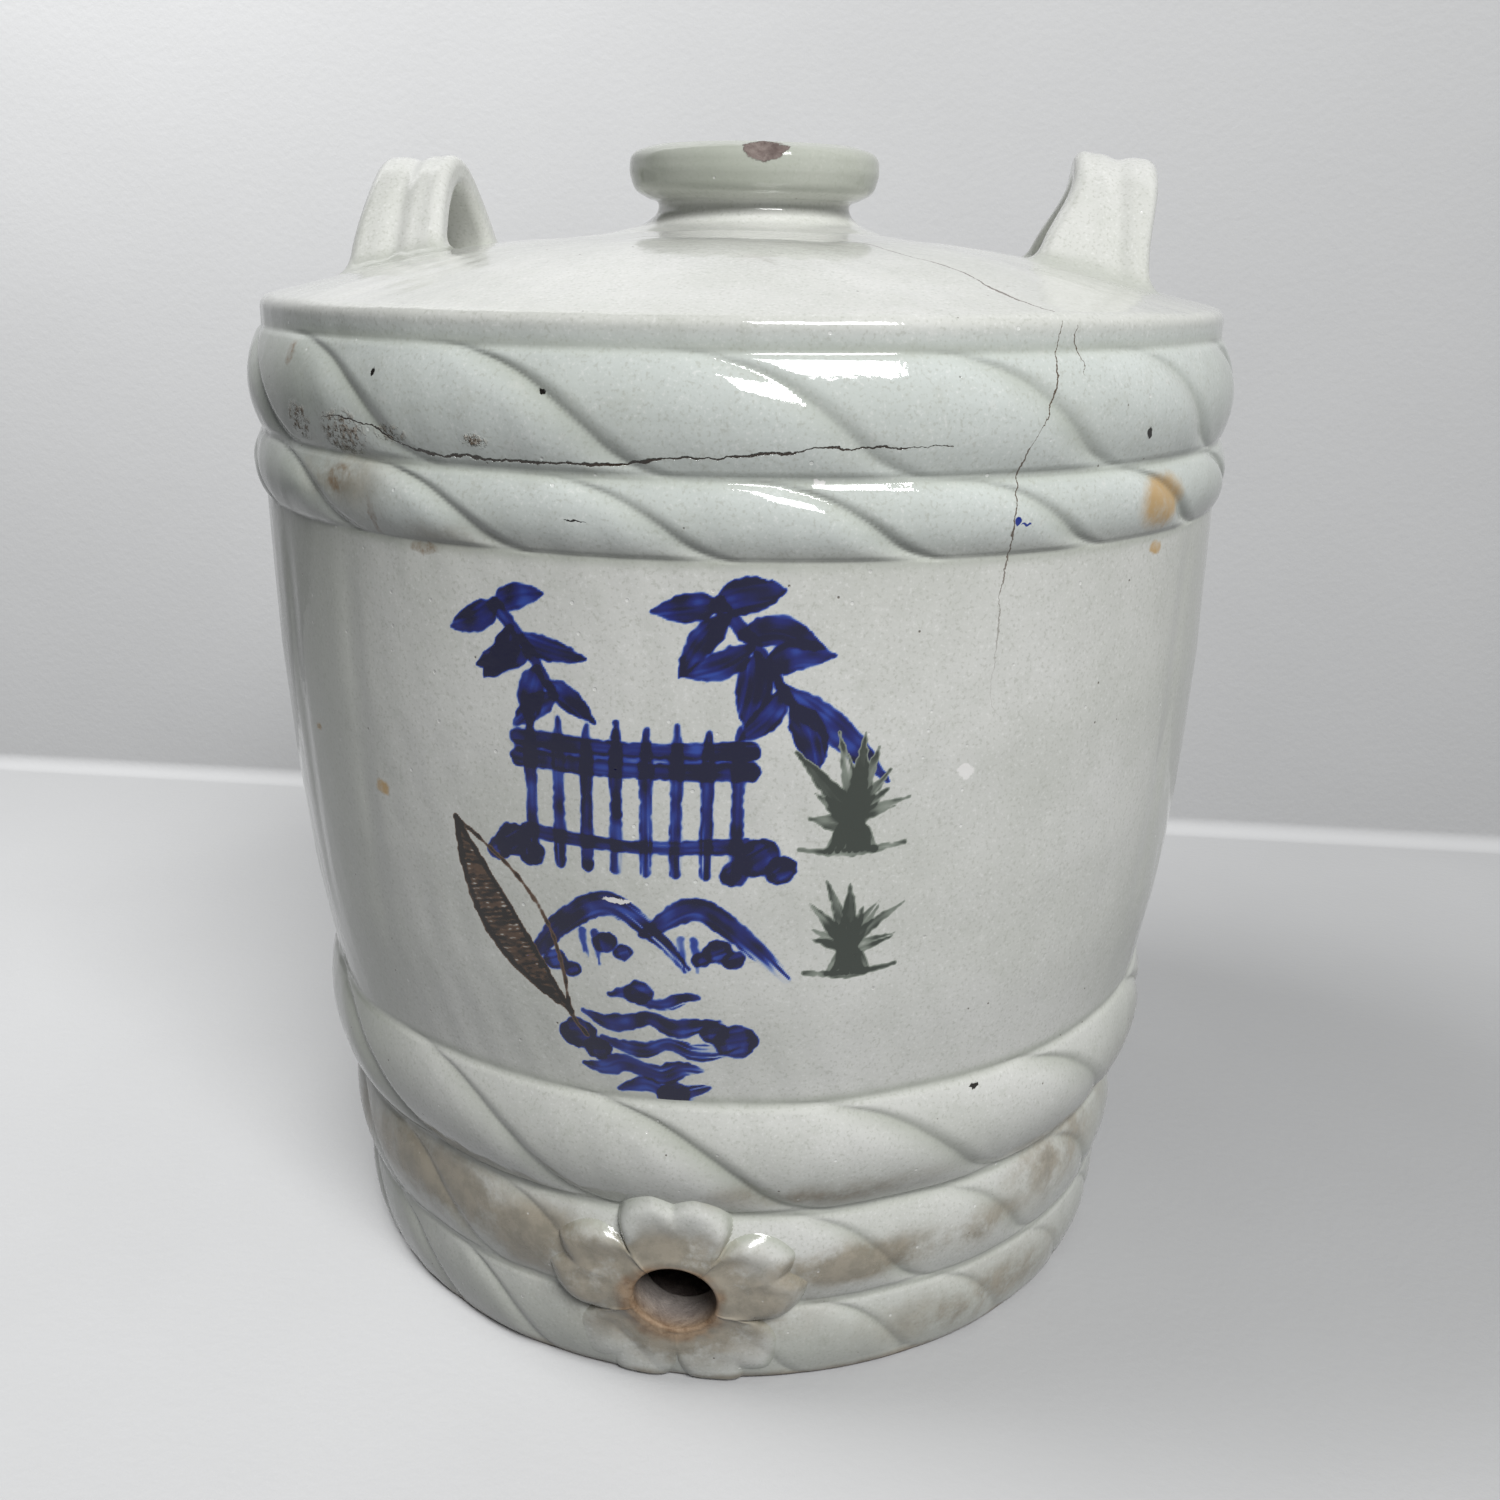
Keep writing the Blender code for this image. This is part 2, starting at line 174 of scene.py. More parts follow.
def resampled(path, step, past=0.0):
    """A path at even steps along it, up to or a little past its end, and the distances along it."""
    run = np.r_[0, np.cumsum(np.linalg.norm(np.diff(path, axis=0), axis=1))]
    even_run = np.arange(0, run[-1] + past, step)
    return np.stack([np.interp(even_run, run, path[:, k]) for k in (0, 1)], 1), even_run


def rounded(corners, step):
    """Evenly spaced points along straight lines through (radius, height, rounding) corners."""
    points = np.array([c[:2] for c in corners], float)
    path = [points[0]]
    for i in range(1, len(points) - 1):
        before, here, after = points[i - 1], points[i], points[i + 1]
        reach_in, reach_out = np.linalg.norm(here - before), np.linalg.norm(after - here)
        along_in, along_out = (here - before) / reach_in, (after - here) / reach_out
        turn = np.arccos(np.clip(along_in @ along_out, -1, 1))
        cut = min(corners[i][2] * np.tan(turn / 2), 0.49 * reach_in, 0.49 * reach_out)
        start, end = here - along_in * cut, here + along_out * cut
        for s in np.linspace(0, 1, 25):
            path.append((1 - s) ** 2 * start + 2 * s * (1 - s) * here + s**2 * end)
    path.append(points[-1])
    path = np.array(path)
    keep = np.r_[True, np.linalg.norm(np.diff(path, axis=0), axis=1) > 1e-6]
    return resampled(path[keep], step)[0]


ROUND = 200  # a rounding as large as the straight pieces allow
wall_line = [
    (r, z, ROUND)
    for z, r in outline_of(wall_heights, wall_radii)
    if waist_top + 15 < z < upper_bottom - 10
]
dome_line = [
    (r, z, ROUND)
    for r, z in outline_of(dome_radii, dome_heights)
    if 47 < r < SHOULDER_RADIUS - 12 and z > SHOULDER_TOP
][::-1]
dome_line = dome_line[:: max(1, len(dome_line) // 6)]
NECK_FOOT = 279.4
PROFILE_STEP = 0.2
profile = rounded(
    [
        (FOOT_RADIUS - 8.2, 3.0, 0),
        (FOOT_RADIUS - 7.4, 0.0, 1.0),
        (FOOT_RADIUS + 0.2, 0.0, 1.5),
        (foot.radius_above, foot.top, 2.5),
        (lower.radius_above, lower.top, 3.5),
        (waist.radius_above, waist_top, 12),
        *wall_line,
        (upper.radius_below, upper_bottom, 6),
        (0.5 * (upper.radius_above + shoulder.radius_below), upper.top, 4),
        (shoulder.radius_above, shoulder.top + 0.8, 3),
        (SHOULDER_RADIUS + 0.3, SHOULDER_TOP + 0.5, 5.0),
        (SHOULDER_RADIUS - 10, SHOULDER_TOP + 3.1, 12),
        *dome_line,
        (37.5, NECK_FOOT - 0.4, 20),
        (29.0, NECK_FOOT + 1.9, 9),
        (25.6, NECK_FOOT + 4.6, 5),
        (25.2, NECK_FOOT + 7.4, 1.4),
        (27.6, NECK_FOOT + 8.0, 1.5),
        (LIP_RADIUS - 1.2, JAR_TOP - 11.2, 4.5),
        (LIP_RADIUS + 0.2, JAR_TOP - 6.6, 5),
        (LIP_RADIUS - 0.1, JAR_TOP - 1.7, 4),
        (27.5, JAR_TOP, 5),
        (BORE_RADIUS, JAR_TOP, 3.2),
        (BORE_RADIUS, NECK_FOOT - 3, 4),
        (BORE_RADIUS + 4, NECK_FOOT - 9, 0),
    ],
    PROFILE_STEP,
)
runs = np.arange(len(profile)) * PROFILE_STEP
slope = unit(np.gradient(profile, axis=0))
outward = np.stack([slope[:, 1], -slope[:, 0]], 1)
edge_index = int(np.argmin(np.hypot(profile[:, 0] - SHOULDER_RADIUS, profile[:, 1] - SHOULDER_TOP)))
low_index = int(np.argmax(profile[:, 0] > FOOT_RADIUS - 0.6))
wall_part = slice(low_index, edge_index)


def run_at_height(z):
    """Place along the profile of a height on the wall, from the foot to the shoulder's edge."""
    return np.interp(z, profile[wall_part, 1], runs[wall_part])


def radius_at_height(z):
    """The smooth wall's radius at a height, from the foot to the shoulder's edge."""
    return np.interp(z, profile[wall_part, 1], profile[wall_part, 0])


def run_at_radius(r):
    """Place along the profile of a radius on the dome, from the shoulder's edge to the neck."""
    neck_index = edge_index + int(np.argmax(profile[edge_index:, 0] < 30))
    part = slice(neck_index, edge_index, -1)
    return np.interp(r, profile[part, 0], runs[part])


# ---------------------------------------------------------------- the hand-made skin


def waves(seed, count, turns, reach, size):
    """A smooth unevenness that closes round the jar."""
    draw = np.random.default_rng(seed)
    rounds = draw.integers(turns[0], turns[1] + 1, count)
    pitch = draw.uniform(-reach, reach, count)
    start = draw.uniform(0, TURN, count)
    share = size * np.sqrt(2 / count)

    def height(phi, run):
        return sum(share * np.sin(m * phi + k * run + s) for m, k, s in zip(rounds, pitch, start))

    return height


dents = waves(11, 10, (2, 7), 0.03, 0.28)
facets = waves(12, 12, (9, 22), 0.035, 0.10)
ripples = waves(13, 16, (30, 80), 0.28, 0.030)
NECK_SHIFT = 2.2  # the neck was luted on slightly off centre
PRESS_MARKS = (-52.0, -37.0, 64.0, 118.0, -140.0)  # upright hollows left by the mould and the hand


def skin(phi, run, sunk=0.0):
    """A point of the jar's outside, `sunk` below it."""
    r = np.interp(run, runs, profile[:, 0])
    z = np.interp(run, runs, profile[:, 1])
    out_r = np.interp(run, runs, outward[:, 0])
    out_z = np.interp(run, runs, outward[:, 1])
    lift = dents(phi, run) * smooth(20, 50, r) + facets(phi, run) * smooth(30, 90, r)
    lift = lift + ripples(phi, run) * smooth(60, 115, r)
    for turn in PRESS_MARKS:
        on_panel = smooth(95, 130, z) * smooth(222, 195, z)
        lift = lift - 0.45 * hump(np.degrees(phi) - turn, 1.7) * on_panel
    lift = lift * smooth(-1, 4, z) - sunk
    on_wall = run < runs[edge_index]
    for rope in ropes:
        here = on_wall & (z > rope.bottom) & (z < rope.top)
        if np.any(here):
            lift = lift + np.where(here, rope.lift(phi, z)[0] * smooth(-0.6, 2.5, z), 0)
    r, z = r + out_r * lift, z + out_z * lift
    points = turned(r, phi, z)
    points[..., 0] += NECK_SHIFT * smooth(NECK_FOOT - 3, NECK_FOOT + 3, z) * (r < 60)
    return points


def skin_normal(phi, run):
    """The direction the skin faces, taken over a short distance so that the grooves shade softly."""
    small = 0.45
    radius = np.maximum(np.interp(run, runs, profile[:, 0]), 10)
    across = skin(phi + small / radius, run) - skin(phi - small / radius, run)
    along = skin(phi, run + small) - skin(phi, run - small)
    return unit(np.cross(across, along))


# ---------------------------------------------------------------- meshes


CHART_RADIUS = 126.0  # the chart is the wall rolled flat: turn times this radius across, run up


def add_layer(mesh, name, kind, domain, field, values):
    """An attribute layer of a mesh, filled from an array."""
    mesh.attributes.new(name, kind, domain).data.foreach_set(field, values.astype(np.float32).ravel())


def make_piece(node, points, faces, normals, material, colours, chart, ending="glazed"):
    """A closed mesh from points, faces (arrays of corner numbers) and the normals to shade it with."""
    used = np.unique(np.concatenate([f.ravel() for f in faces]))
    renumber = np.zeros(len(points), int)
    renumber[used] = np.arange(len(used))
    points, normals = points[used], normals[used]
    corners = np.concatenate([renumber[f].ravel() for f in faces])
    sizes = np.concatenate([np.full(len(f), f.shape[1]) for f in faces])
    starts = np.r_[0, np.cumsum(sizes)[:-1]]
    mesh = bpy.data.meshes.new(f"{node}_{ending}")
    mesh.vertices.add(len(points))
    mesh.vertices.foreach_set("co", (points * MM).astype(np.float32).ravel())
    mesh.loops.add(len(corners))
    mesh.loops.foreach_set("vertex_index", corners.astype(np.int32))
    mesh.polygons.add(len(sizes))
    mesh.polygons.foreach_set("loop_start", starts.astype(np.int32))
    mesh.update(calc_edges=True)
    mesh.polygons.foreach_set("use_smooth", np.ones(len(sizes), bool))
    for key, values in colours.items():
        add_layer(mesh, key, "FLOAT_COLOR", "POINT", "color", values[used])
    # a face that crosses the back of the chart keeps its corners together
    flat = chart[used][corners]
    jump = flat[:, 0] - flat[np.repeat(starts, sizes), 0]
    flat[:, 0] -= np.round(jump / (TURN * CHART_RADIUS)) * TURN * CHART_RADIUS
    add_layer(mesh, "chart", "FLOAT_VECTOR", "CORNER", "vector", flat)
    mesh.normals_split_custom_set_from_vertices(normals.astype(np.float32).tolist())
    piece = bpy.data.objects.new(mesh.name, mesh)
    bpy.context.scene.collection.objects.link(piece)
    mesh.materials.append(material)
    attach(piece, "root")
    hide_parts(node)


def sheet(phi, run, sunk=None):
    """Points, normals and chart places of a grid of skin: rows along run, columns round phi."""
    grid_phi, grid_run = np.meshgrid(phi, run)
    depth = np.zeros(len(run)) if sunk is None else np.asarray(sunk, float)
    points = skin(grid_phi, grid_run, depth[:, None])
    normals = skin_normal(grid_phi, grid_run)
    chart = np.stack([grid_phi * CHART_RADIUS, grid_run, np.zeros_like(grid_run)], -1)
    return points, normals, chart


def valley_of(phi, run):
    """How deep in a rope groove or a crease a point lies, 0 to 1."""
    z = np.interp(run, runs, profile[:, 1])
    depth = np.zeros(np.broadcast(phi, run).shape)
    for rope in ropes:
        here = (run < runs[edge_index]) & (z >= rope.bottom) & (z <= rope.top)
        depth = np.where(here, np.maximum(depth, rope.lift(phi, z)[1]), depth)
        for crease in (rope.bottom, rope.top):
            depth = np.maximum(depth, 0.8 * hump(z - crease, 1.6) * (run < runs[edge_index]))
    return depth


def grid_faces(rows, columns, wrap_rows):
    """Faces of a grid whose columns close round the jar, and whose rows may close too."""
    i = np.arange(rows if wrap_rows else rows - 1)[:, None]
    j = np.arange(columns)[None, :]
    k, m = (i + 1) % rows, (j + 1) % columns
    quad = [i * columns + j, i * columns + m, k * columns + m, k * columns + j]
    return np.stack(quad, -1).reshape(-1, 4)


def shell_faces(rows, columns, keep):
    """Faces of an outer and an inner grid, joined at the ends and where cells are left out."""
    inner = rows * columns
    kept = np.zeros((rows + 1, columns), bool)
    kept[1:rows] = keep
    i, j = np.nonzero(keep)
    m = (j + 1) % columns
    quad = np.stack([i * columns + j, i * columns + m, (i + 1) * columns + m, (i + 1) * columns + j], -1)
    faces = [quad, quad[:, ::-1] + inner]
    for above in (True, False):  # the sides along the rows
        edge = (kept[1:] & ~kept[:-1]) if above else (kept[:-1] & ~kept[1:])
        i, j = np.nonzero(edge)
        a, b = i * columns + j, i * columns + (j + 1) % columns
        side = np.stack([b, a, a + inner, b + inner], -1)
        faces.append(side if above else side[:, ::-1])
    for right in (True, False):  # the sides along the columns
        other = np.roll(keep, 1, axis=1)
        edge = (keep & ~other) if right else (other & ~keep)
        i, j = np.nonzero(edge)
        a, b = i * columns + j, (i + 1) * columns + j
        side = np.stack([a, b, b + inner, a + inner], -1)
        faces.append(side if right else side[:, ::-1])
    return faces


def even(low, high, step):
    """Evenly spaced values from low to high, at most a step apart."""
    return np.linspace(low, high, max(2, int(np.ceil((high - low) / step)) + 1))


def blank(count):
    """Colour layers of a piece with no paint and no wear."""
    return {"marks": np.zeros((count, 4)), "wear": np.zeros((count, 4))}


# Brown-grey patches: stains round the tap hole, on the lower ropes and under the shoulder, and a darker patch
# on the right of the foot rope: turn in degrees, height, half width in degrees, half height, strength.
STAINS = (
    (0, 27, 17, 17, 1.0),
    (-17, 38, 13, 12, 1.1),
    (-38, 42, 20, 12, 1.15),
    (-60, 40, 14, 16, 0.7),
    (23, 37, 13, 7, 1.1),
    (40, 38, 14, 7, 0.7),
    (17, 61, 16, 5, 0.75),
    (56, 48, 14, 16, 0.7),
    (72, 60, 12, 22, 0.45),
    (-36, 226, 9, 9, 0.6),
    (-22, 217, 6, 4, 0.45),
    # this one darkens the right side of the foot rope
    (44, 13, 22, 10, 0.7),
    (120, 45, 30, 14, 0.6),
    (-130, 38, 24, 16, 0.55),
    (175, 228, 14, 6, 0.4),
)


def turn_of(phi):
    """A turn in degrees, from -180 to 180."""
    return np.degrees((phi + np.pi) % TURN - np.pi)


def stains(phi, z):
    """How much brown-grey the glaze takes on, 0 to about 1: a band along the foot's bottom edge, and the
    listed stains.
    """
    # a darker brown-grey band along the bottom edge of the foot
    stain = 0.9 * hump(z, 3.0) + 0 * phi
    for at, height, wide, tall, strength in STAINS:
        apart = (turn_of(phi) - at + 180) % 360 - 180
        stain = np.maximum(stain, strength * np.exp(-((apart / wide) ** 2) - ((z - height) / tall) ** 2))
    return stain


def skin_colours(phi, run):
    """Wear layer of a grid of skin: stain, cooler glaze, bare clay, and pooled glaze together with painted
    shade on the jar's sides.
    """
    grid_phi, grid_run = np.meshgrid(phi, run)
    z = np.interp(grid_run, runs, profile[:, 1])
    wear = np.zeros(grid_phi.shape + (4,))
    wear[..., 0] = stains(grid_phi, z)
    on_upper_ropes = smooth(upper_bottom - 2, upper_bottom + 6, z)
    wear[..., 1] = on_upper_ropes * smooth(SHOULDER_TOP, SHOULDER_TOP - 5, z)
    wear[..., 2] = smooth(1.6, 0.4, z) * (grid_run < runs[edge_index])
    turn = turn_of(grid_phi)
    # painted shade: the glaze darker and greener towards the jar's left side and, more weakly, its right side
    painted_side_shade = 0.9 * smooth(-26, -52, turn) * smooth(-120, -95, turn)
    painted_side_shade += 0.5 * smooth(52, 72, turn) * smooth(130, 100, turn)
    pooled_glaze_and_side_shade = np.maximum(painted_side_shade * smooth(262, 252, z), 0.6 * smooth(34, 10, z))
    wear[..., 3] = np.maximum(valley_of(grid_phi, grid_run), pooled_glaze_and_side_shade)
    return wear


OPENING = 11.5  # half the side of the square left out of the wall behind the boss


def behind_boss(phi, z):
    """Cells of the wall and the ropes that are left out behind the tap hole."""
    middle = (phi + np.roll(phi, -1)) / 2
    middle[-1] = phi[-1]
    across = (np.abs(middle * HOLE_WALL_RADIUS) < OPENING)[None, :]
    up = (np.abs(0.5 * (z[:-1] + z[1:]) - HOLE_HEIGHT) < OPENING)[:, None]
    return ~(across & up)


def skin_shell(node, phi, run, sunk, thickness, marks=None):
    """A piece of the skin, with a plain inner side a thickness inside the smooth wall."""
    points, normals, chart = sheet(phi, run, sunk)
    z = np.interp(run, runs, profile[:, 1])
    inner = turned((radius_at_height(z) - thickness)[:, None], phi[None, :], z[:, None])
    wear = skin_colours(phi, run)
    inner_wear = np.zeros_like(wear)
    inner_wear[..., 2] = 1
    count = len(run) * len(phi)
    colours = blank(2 * count)
    colours["wear"] = np.concatenate([wear, inner_wear]).reshape(-1, 4)
    if marks is not None:
        colours["marks"][:count] = marks.reshape(-1, 4)
    faces = shell_faces(len(run), len(phi), behind_boss(phi, z))
    both = np.concatenate([points, inner]).reshape(-1, 3)
    shade = np.concatenate([normals, np.zeros_like(inner)]).reshape(-1, 3)
    charts = np.concatenate([chart, chart]).reshape(-1, 3)
    glaze = make_glaze("celadon_" + node, float(run.min()), float(run.max()), painted=marks is not None)
    make_piece(node, both, faces, shade, glaze, colours, charts)


def full_turn(count):
    """Turn angles once round the jar, starting at the back."""
    return np.arange(count) / count * TURN - np.pi


def ring_parts(phi, run, closing):
    """A turned solid's points, faces, normals, colours and chart: rows of skin, closed through the
    (radius, height) points of its hidden underside."""
    points, normals, chart = sheet(phi, run)
    wear = skin_colours(phi, run)
    radius, height = np.array(closing).T[..., None]
    hidden = turned(radius, phi[None, :], height)
    hidden_wear = np.zeros(hidden.shape[:2] + (4,))
    hidden_wear[..., 2] = 1
    hidden_chart = np.zeros_like(hidden)
    hidden_chart[..., 0] = phi[None, :] * CHART_RADIUS
    all_points = np.concatenate([points, hidden]).reshape(-1, 3)
    shade = np.concatenate([normals, np.zeros_like(hidden)]).reshape(-1, 3)
    colours = blank(len(all_points))
    colours["wear"] = np.concatenate([wear, hidden_wear]).reshape(-1, 4)
    charts = np.concatenate([chart, hidden_chart]).reshape(-1, 3)
    return all_points, [grid_faces(len(run) + len(closing), len(phi), True)], shade, colours, charts


# ---------------------------------------------------------------- node materials


class Shader:
    """Builds a node material, with short calls for the nodes it needs: sockets and plain values both go in."""

    def __init__(self, name):
        self.material = bpy.data.materials.new(name)
        self.material.use_nodes = True
        self.tree = self.material.node_tree
        self.tree.nodes.clear()
        self.surface = self.node("ShaderNodeBsdfPrincipled")
        output = self.node("ShaderNodeOutputMaterial")
        self.tree.links.new(self.surface.outputs[0], output.inputs[0])
        self.place = self.node("ShaderNodeTexCoord").outputs["Object"]

    def node(self, kind, **settings):
        made = self.tree.nodes.new(kind)
        for key, value in settings.items():
            setattr(made, key, value)
        return made

    def put(self, socket, value):
        if isinstance(value, bpy.types.NodeSocket):
            self.tree.links.new(value, socket)
        elif isinstance(value, tuple) and len(value) == 3 and socket.type == "RGBA":
            socket.default_value = (*value, 1)
        else:
            socket.default_value = value

    def math(self, operation, *values, clamp=False):
        made = self.node("ShaderNodeMath", operation=operation, use_clamp=clamp)
        for socket, value in zip(made.inputs, values):
            self.put(socket, value)
        return made.outputs[0]

    def times(self, first, second, clamp=False):
        return self.math("MULTIPLY", first, second, clamp=clamp)

    def add(self, value, by, onto):
        """value * by + onto."""
        return self.math("MULTIPLY_ADD", value, by, onto)

    def minus(self, first, second):
        return self.math("SUBTRACT", first, second)

    def vector(self, operation, *values, scale=None):
        made = self.node("ShaderNodeVectorMath", operation=operation)
        for socket, value in zip(made.inputs, values):
            self.put(socket, value)
        if scale is not None:
            self.put(made.inputs["Scale"], scale)
        return made.outputs["Value"] if operation in ("LENGTH", "DISTANCE") else made.outputs[0]

    def ramp(self, value, low, high, to_low=0.0, to_high=1.0):
        made = self.node("ShaderNodeMapRange", interpolation_type="SMOOTHSTEP")
        for socket, item in zip(made.inputs, (value, low, high, to_low, to_high)):
            self.put(socket, item)
        return made.outputs[0]

    def mix(self, share, first, second, blend="MIX"):
        made = self.node("ShaderNodeMix", data_type="RGBA", blend_type=blend)
        self.put(made.inputs[0], share)
        self.put(made.inputs[6], first)
        self.put(made.inputs[7], second)
        return made.outputs[2]

    def noise(self, size, detail=3.0, rough=0.55, colour=False):
        """Noise whose features are about `size` millimetres across."""
        made = self.node("ShaderNodeTexNoise")
        values = {"Vector": self.place, "Scale": 1 / (size * MM), "Detail": detail, "Roughness": rough}
        for key, value in values.items():
            self.put(made.inputs[key], value)
        return made.outputs["Color" if colour else "Fac"]

    def cells(self, size, output="Distance"):
        made = self.node("ShaderNodeTexVoronoi")
        self.put(made.inputs["Vector"], self.place)
        self.put(made.inputs["Scale"], 1 / (size * MM))
        return made.outputs[output]

    def attribute(self, name):
        return self.node("ShaderNodeAttribute", attribute_name=name)

    def separate(self, socket, kind="ShaderNodeSeparateColor"):
        made = self.node(kind)
        self.put(made.inputs[0], socket)
        return made.outputs

    def bump(self, height, distance):
        made = self.node("ShaderNodeBump")
        self.put(made.inputs["Strength"], 1.0)
        self.put(made.inputs["Distance"], distance * MM)
        self.put(made.inputs["Height"], height)
        return made.outputs[0]

    def finish(self, colour, roughness, normal, **others):
        self.put(self.surface.inputs["Base Color"], colour)
        self.put(self.surface.inputs["Roughness"], roughness)
        self.put(self.surface.inputs["Normal"], normal)
        for key, value in others.items():
            self.put(self.surface.inputs[key], value)
        return self.material


# Flaws of the glaze: turn in degrees, height from a band's edge, half width, half height, kind.
FLAWS = (
    (54, upper.bottom + 8, 9.5, 6, "ochre"),
    (55, upper.bottom - 3, 2.5, 1.7, "ochre"),
    (-34, waist_top + 68, 2.5, 2, "ochre"),
    (-47, waist_top + 76, 1.6, 1, "ochre"),
    (-120, waist_top + 33, 3, 4, "ochre"),
    (-36, upper.top - 5, 4.5, 3, "rust"),
    (-31, upper.top - 12, 1.2, 4, "rust"),
    (-25, upper.bottom - 1, 3.5, 1.4, "rust"),
    (-45, shoulder.top - 5, 2.2, 2.6, "rust"),
    (30, waist_top + 81, 2.2, 2, "chip"),
    (-5, waist_top + 52, 3.5, 0.6, "chip"),
    (14, upper.top, 1.2, 0.7, "chip"),
    (-165, waist.bottom + 17, 2, 1.4, "chip"),
    (50, shoulder.bottom + 7, 0.9, 1.4, "black"),
    (-11, shoulder.top - 9, 0.9, 0.8, "black"),
    (-30, shoulder.top - 7, 0.5, 0.7, "black"),
    (-8, upper.bottom + 8, 2.4, 0.25, "black"),
    (36, waist_top - 3, 1.3, 0.8, "black"),
    (150, upper.bottom - 25, 1, 1.2, "black"),
    (33, upper.bottom + 8, 0.8, 0.9, "blue"),
    (34, upper.bottom + 7, 1.3, 0.3, "blue"),
    (-43, shoulder.bottom + 6, 5, 4, "rough"),
    (-35, shoulder.bottom + 5, 7.5, 4.5, "rough"),
    (-28, shoulder.bottom + 6, 4.5, 1.8, "rough"),
    (-18, shoulder.bottom + 6, 3, 1.3, "rough"),
)


FLAW_TONES = {"chip": (0.80, 0.79, 0.77), "black": (0.012, 0.010, 0.008), "blue": (0.01, 0.03, 0.24)}


def flaw_masks(s, chart, low, high):
    """One mask for each kind of flaw between two places on the profile, with an uneven edge."""
    masks = {}
    wobble = None
    for turn, height, wide, tall, kind in FLAWS:
        place = float(run_at_height(height))
        if not low - tall < place < high + tall:
            continue
        if wobble is None:
            wobble = s.vector("SUBTRACT", s.noise(2.2, 3.0, 0.6, colour=True), (0.5, 0.5, 0.5))
            warped = s.vector("ADD", chart, s.vector("SCALE", wobble, scale=2.6))
        away = s.vector("SUBTRACT", warped, (np.radians(turn) * CHART_RADIUS, place, 0.0))
        far = s.vector("LENGTH", s.vector("MULTIPLY", away, (1 / wide, 1 / tall, 0.0)))
        soft = 0.3 if kind in ("rust", "rough", "ochre") else 0.12
        mask = s.ramp(far, 0.95 + soft, 0.95 - soft)
        masks[kind] = s.math("MAXIMUM", masks[kind], mask) if kind in masks else mask
    return masks


CRACK_STEPS = 13
# Cracks: start and end as (turn in degrees, height or dome radius), sideways bow, size and seed of the walk
# that makes the course uneven, width, fine wander, and whether it runs round the jar.
CRACKS = {
    "under_rope": ((-38, shoulder.bottom + 8), (26, shoulder.bottom + 7), -5.5, 0.9, 6, 0.36, 3.6, True),
    "hair_wall": ((33, waist_top + 93), (38, SHOULDER_TOP), -3.5, 0.8, 3, 0.26, 4.5, False),
    "hair_short": ((40, SHOULDER_TOP - 11), (40, SHOULDER_TOP - 1), 0, 0.3, 4, 0.20, 4.0, False),
    "hair_dome": ((28, 46), (38, SHOULDER_RADIUS - 2), 6, 2.0, 5, 0.60, 4.5, False),
}


def crack_course(start, end, bow, unevenness, seed):
    """Points (along, across) of a crack: a bowed line, made uneven by a seeded walk."""
    share = np.linspace(0, 1, CRACK_STEPS)
    walk = np.random.default_rng(seed).normal(0, unevenness, CRACK_STEPS).cumsum()
    walk -= walk[0] + (walk[-1] - walk[0]) * share
    along = start[0] + (end[0] - start[0]) * share
    across = start[1] + (end[1] - start[1]) * share + bow * np.sin(np.pi * share) + walk
    return [(float(x), float(y)) for x, y in zip(along, across)]


def curve_node(s, value, points):
    """A smooth curve through points, from a value to a length."""
    xs, ys = [p[0] for p in points], [p[1] for p in points]
    low, high, bottom, top = min(xs), max(xs), min(ys) - 1, max(ys) + 1
    made = s.node("ShaderNodeFloatCurve")
    line = made.mapping.curves[0]
    share = [((x - low) / (high - low), (y - bottom) / (top - bottom)) for x, y in zip(xs, ys)]
    line.points[0].location = share[0]
    line.points[-1].location = share[-1]
    for at in share[1:-1]:
        line.points.new(*at)
    made.mapping.update()
    s.put(made.inputs["Value"], s.math("DIVIDE", s.minus(value, low), high - low))
    return s.add(made.outputs[0], top - bottom, bottom)


def crack_mask(s, along, across, points, width, shake, breadth):
    """A fine wandering crack through (along, across) points of the chart, thinning to its ends."""
    line = curve_node(s, along, points)
    first, last = points[0][0], points[-1][0]
    gap = s.math("ABSOLUTE", s.minus(s.minus(across, line), shake))
    share = s.math("DIVIDE", s.minus(along, first), last - first)
    from_end = s.math("MINIMUM", share, s.minus(1.0, share))
    thin = s.ramp(from_end, 0.0, 0.25, 0.45, 1.0)
    dark = s.math("SUBTRACT", 1.0, s.math("DIVIDE", gap, s.times(s.times(breadth, width), thin)), clamp=True)
    return s.times(s.ramp(dark, 0.0, 0.5), s.math("GREATER_THAN", from_end, 0.0))


def crack_masks(s, chart_x, chart_y, low, high):
    """The cracks that cross a stretch of the profile: name to mask."""
    masks, shake = {}, None
    for name, (start, end, bow, unevenness, seed, width, wander, by_turn) in CRACKS.items():
        run_of = run_at_radius if name == "hair_dome" else run_at_height
        ends = [(np.radians(turn) * CHART_RADIUS, float(run_of(place))) for turn, place in (start, end)]
        if max(y for _, y in ends) + abs(bow) < low or min(y for _, y in ends) - abs(bow) > high:
            continue
        if shake is None:
            shake = s.minus(s.noise(8.0, 5.0, 0.66), 0.5)
            breadth = s.ramp(s.noise(9.0, 2.0), 0.3, 0.75, 0.4, 1.5)
        wave = s.times(shake, wander)
        ends = ends if by_turn else sorted((y, x) for x, y in ends)
        along, across = (chart_x, chart_y) if by_turn else (chart_y, chart_x)
        course = crack_course(*ends, bow, unevenness, seed)
        masks[name] = crack_mask(s, along, across, course, width, wave, breadth)
    return masks


def largest(s, masks):
    """Where any of the masks shows."""
    total = masks[0]
    for mask in masks[1:]:
        total = s.math("MAXIMUM", total, mask)
    return total


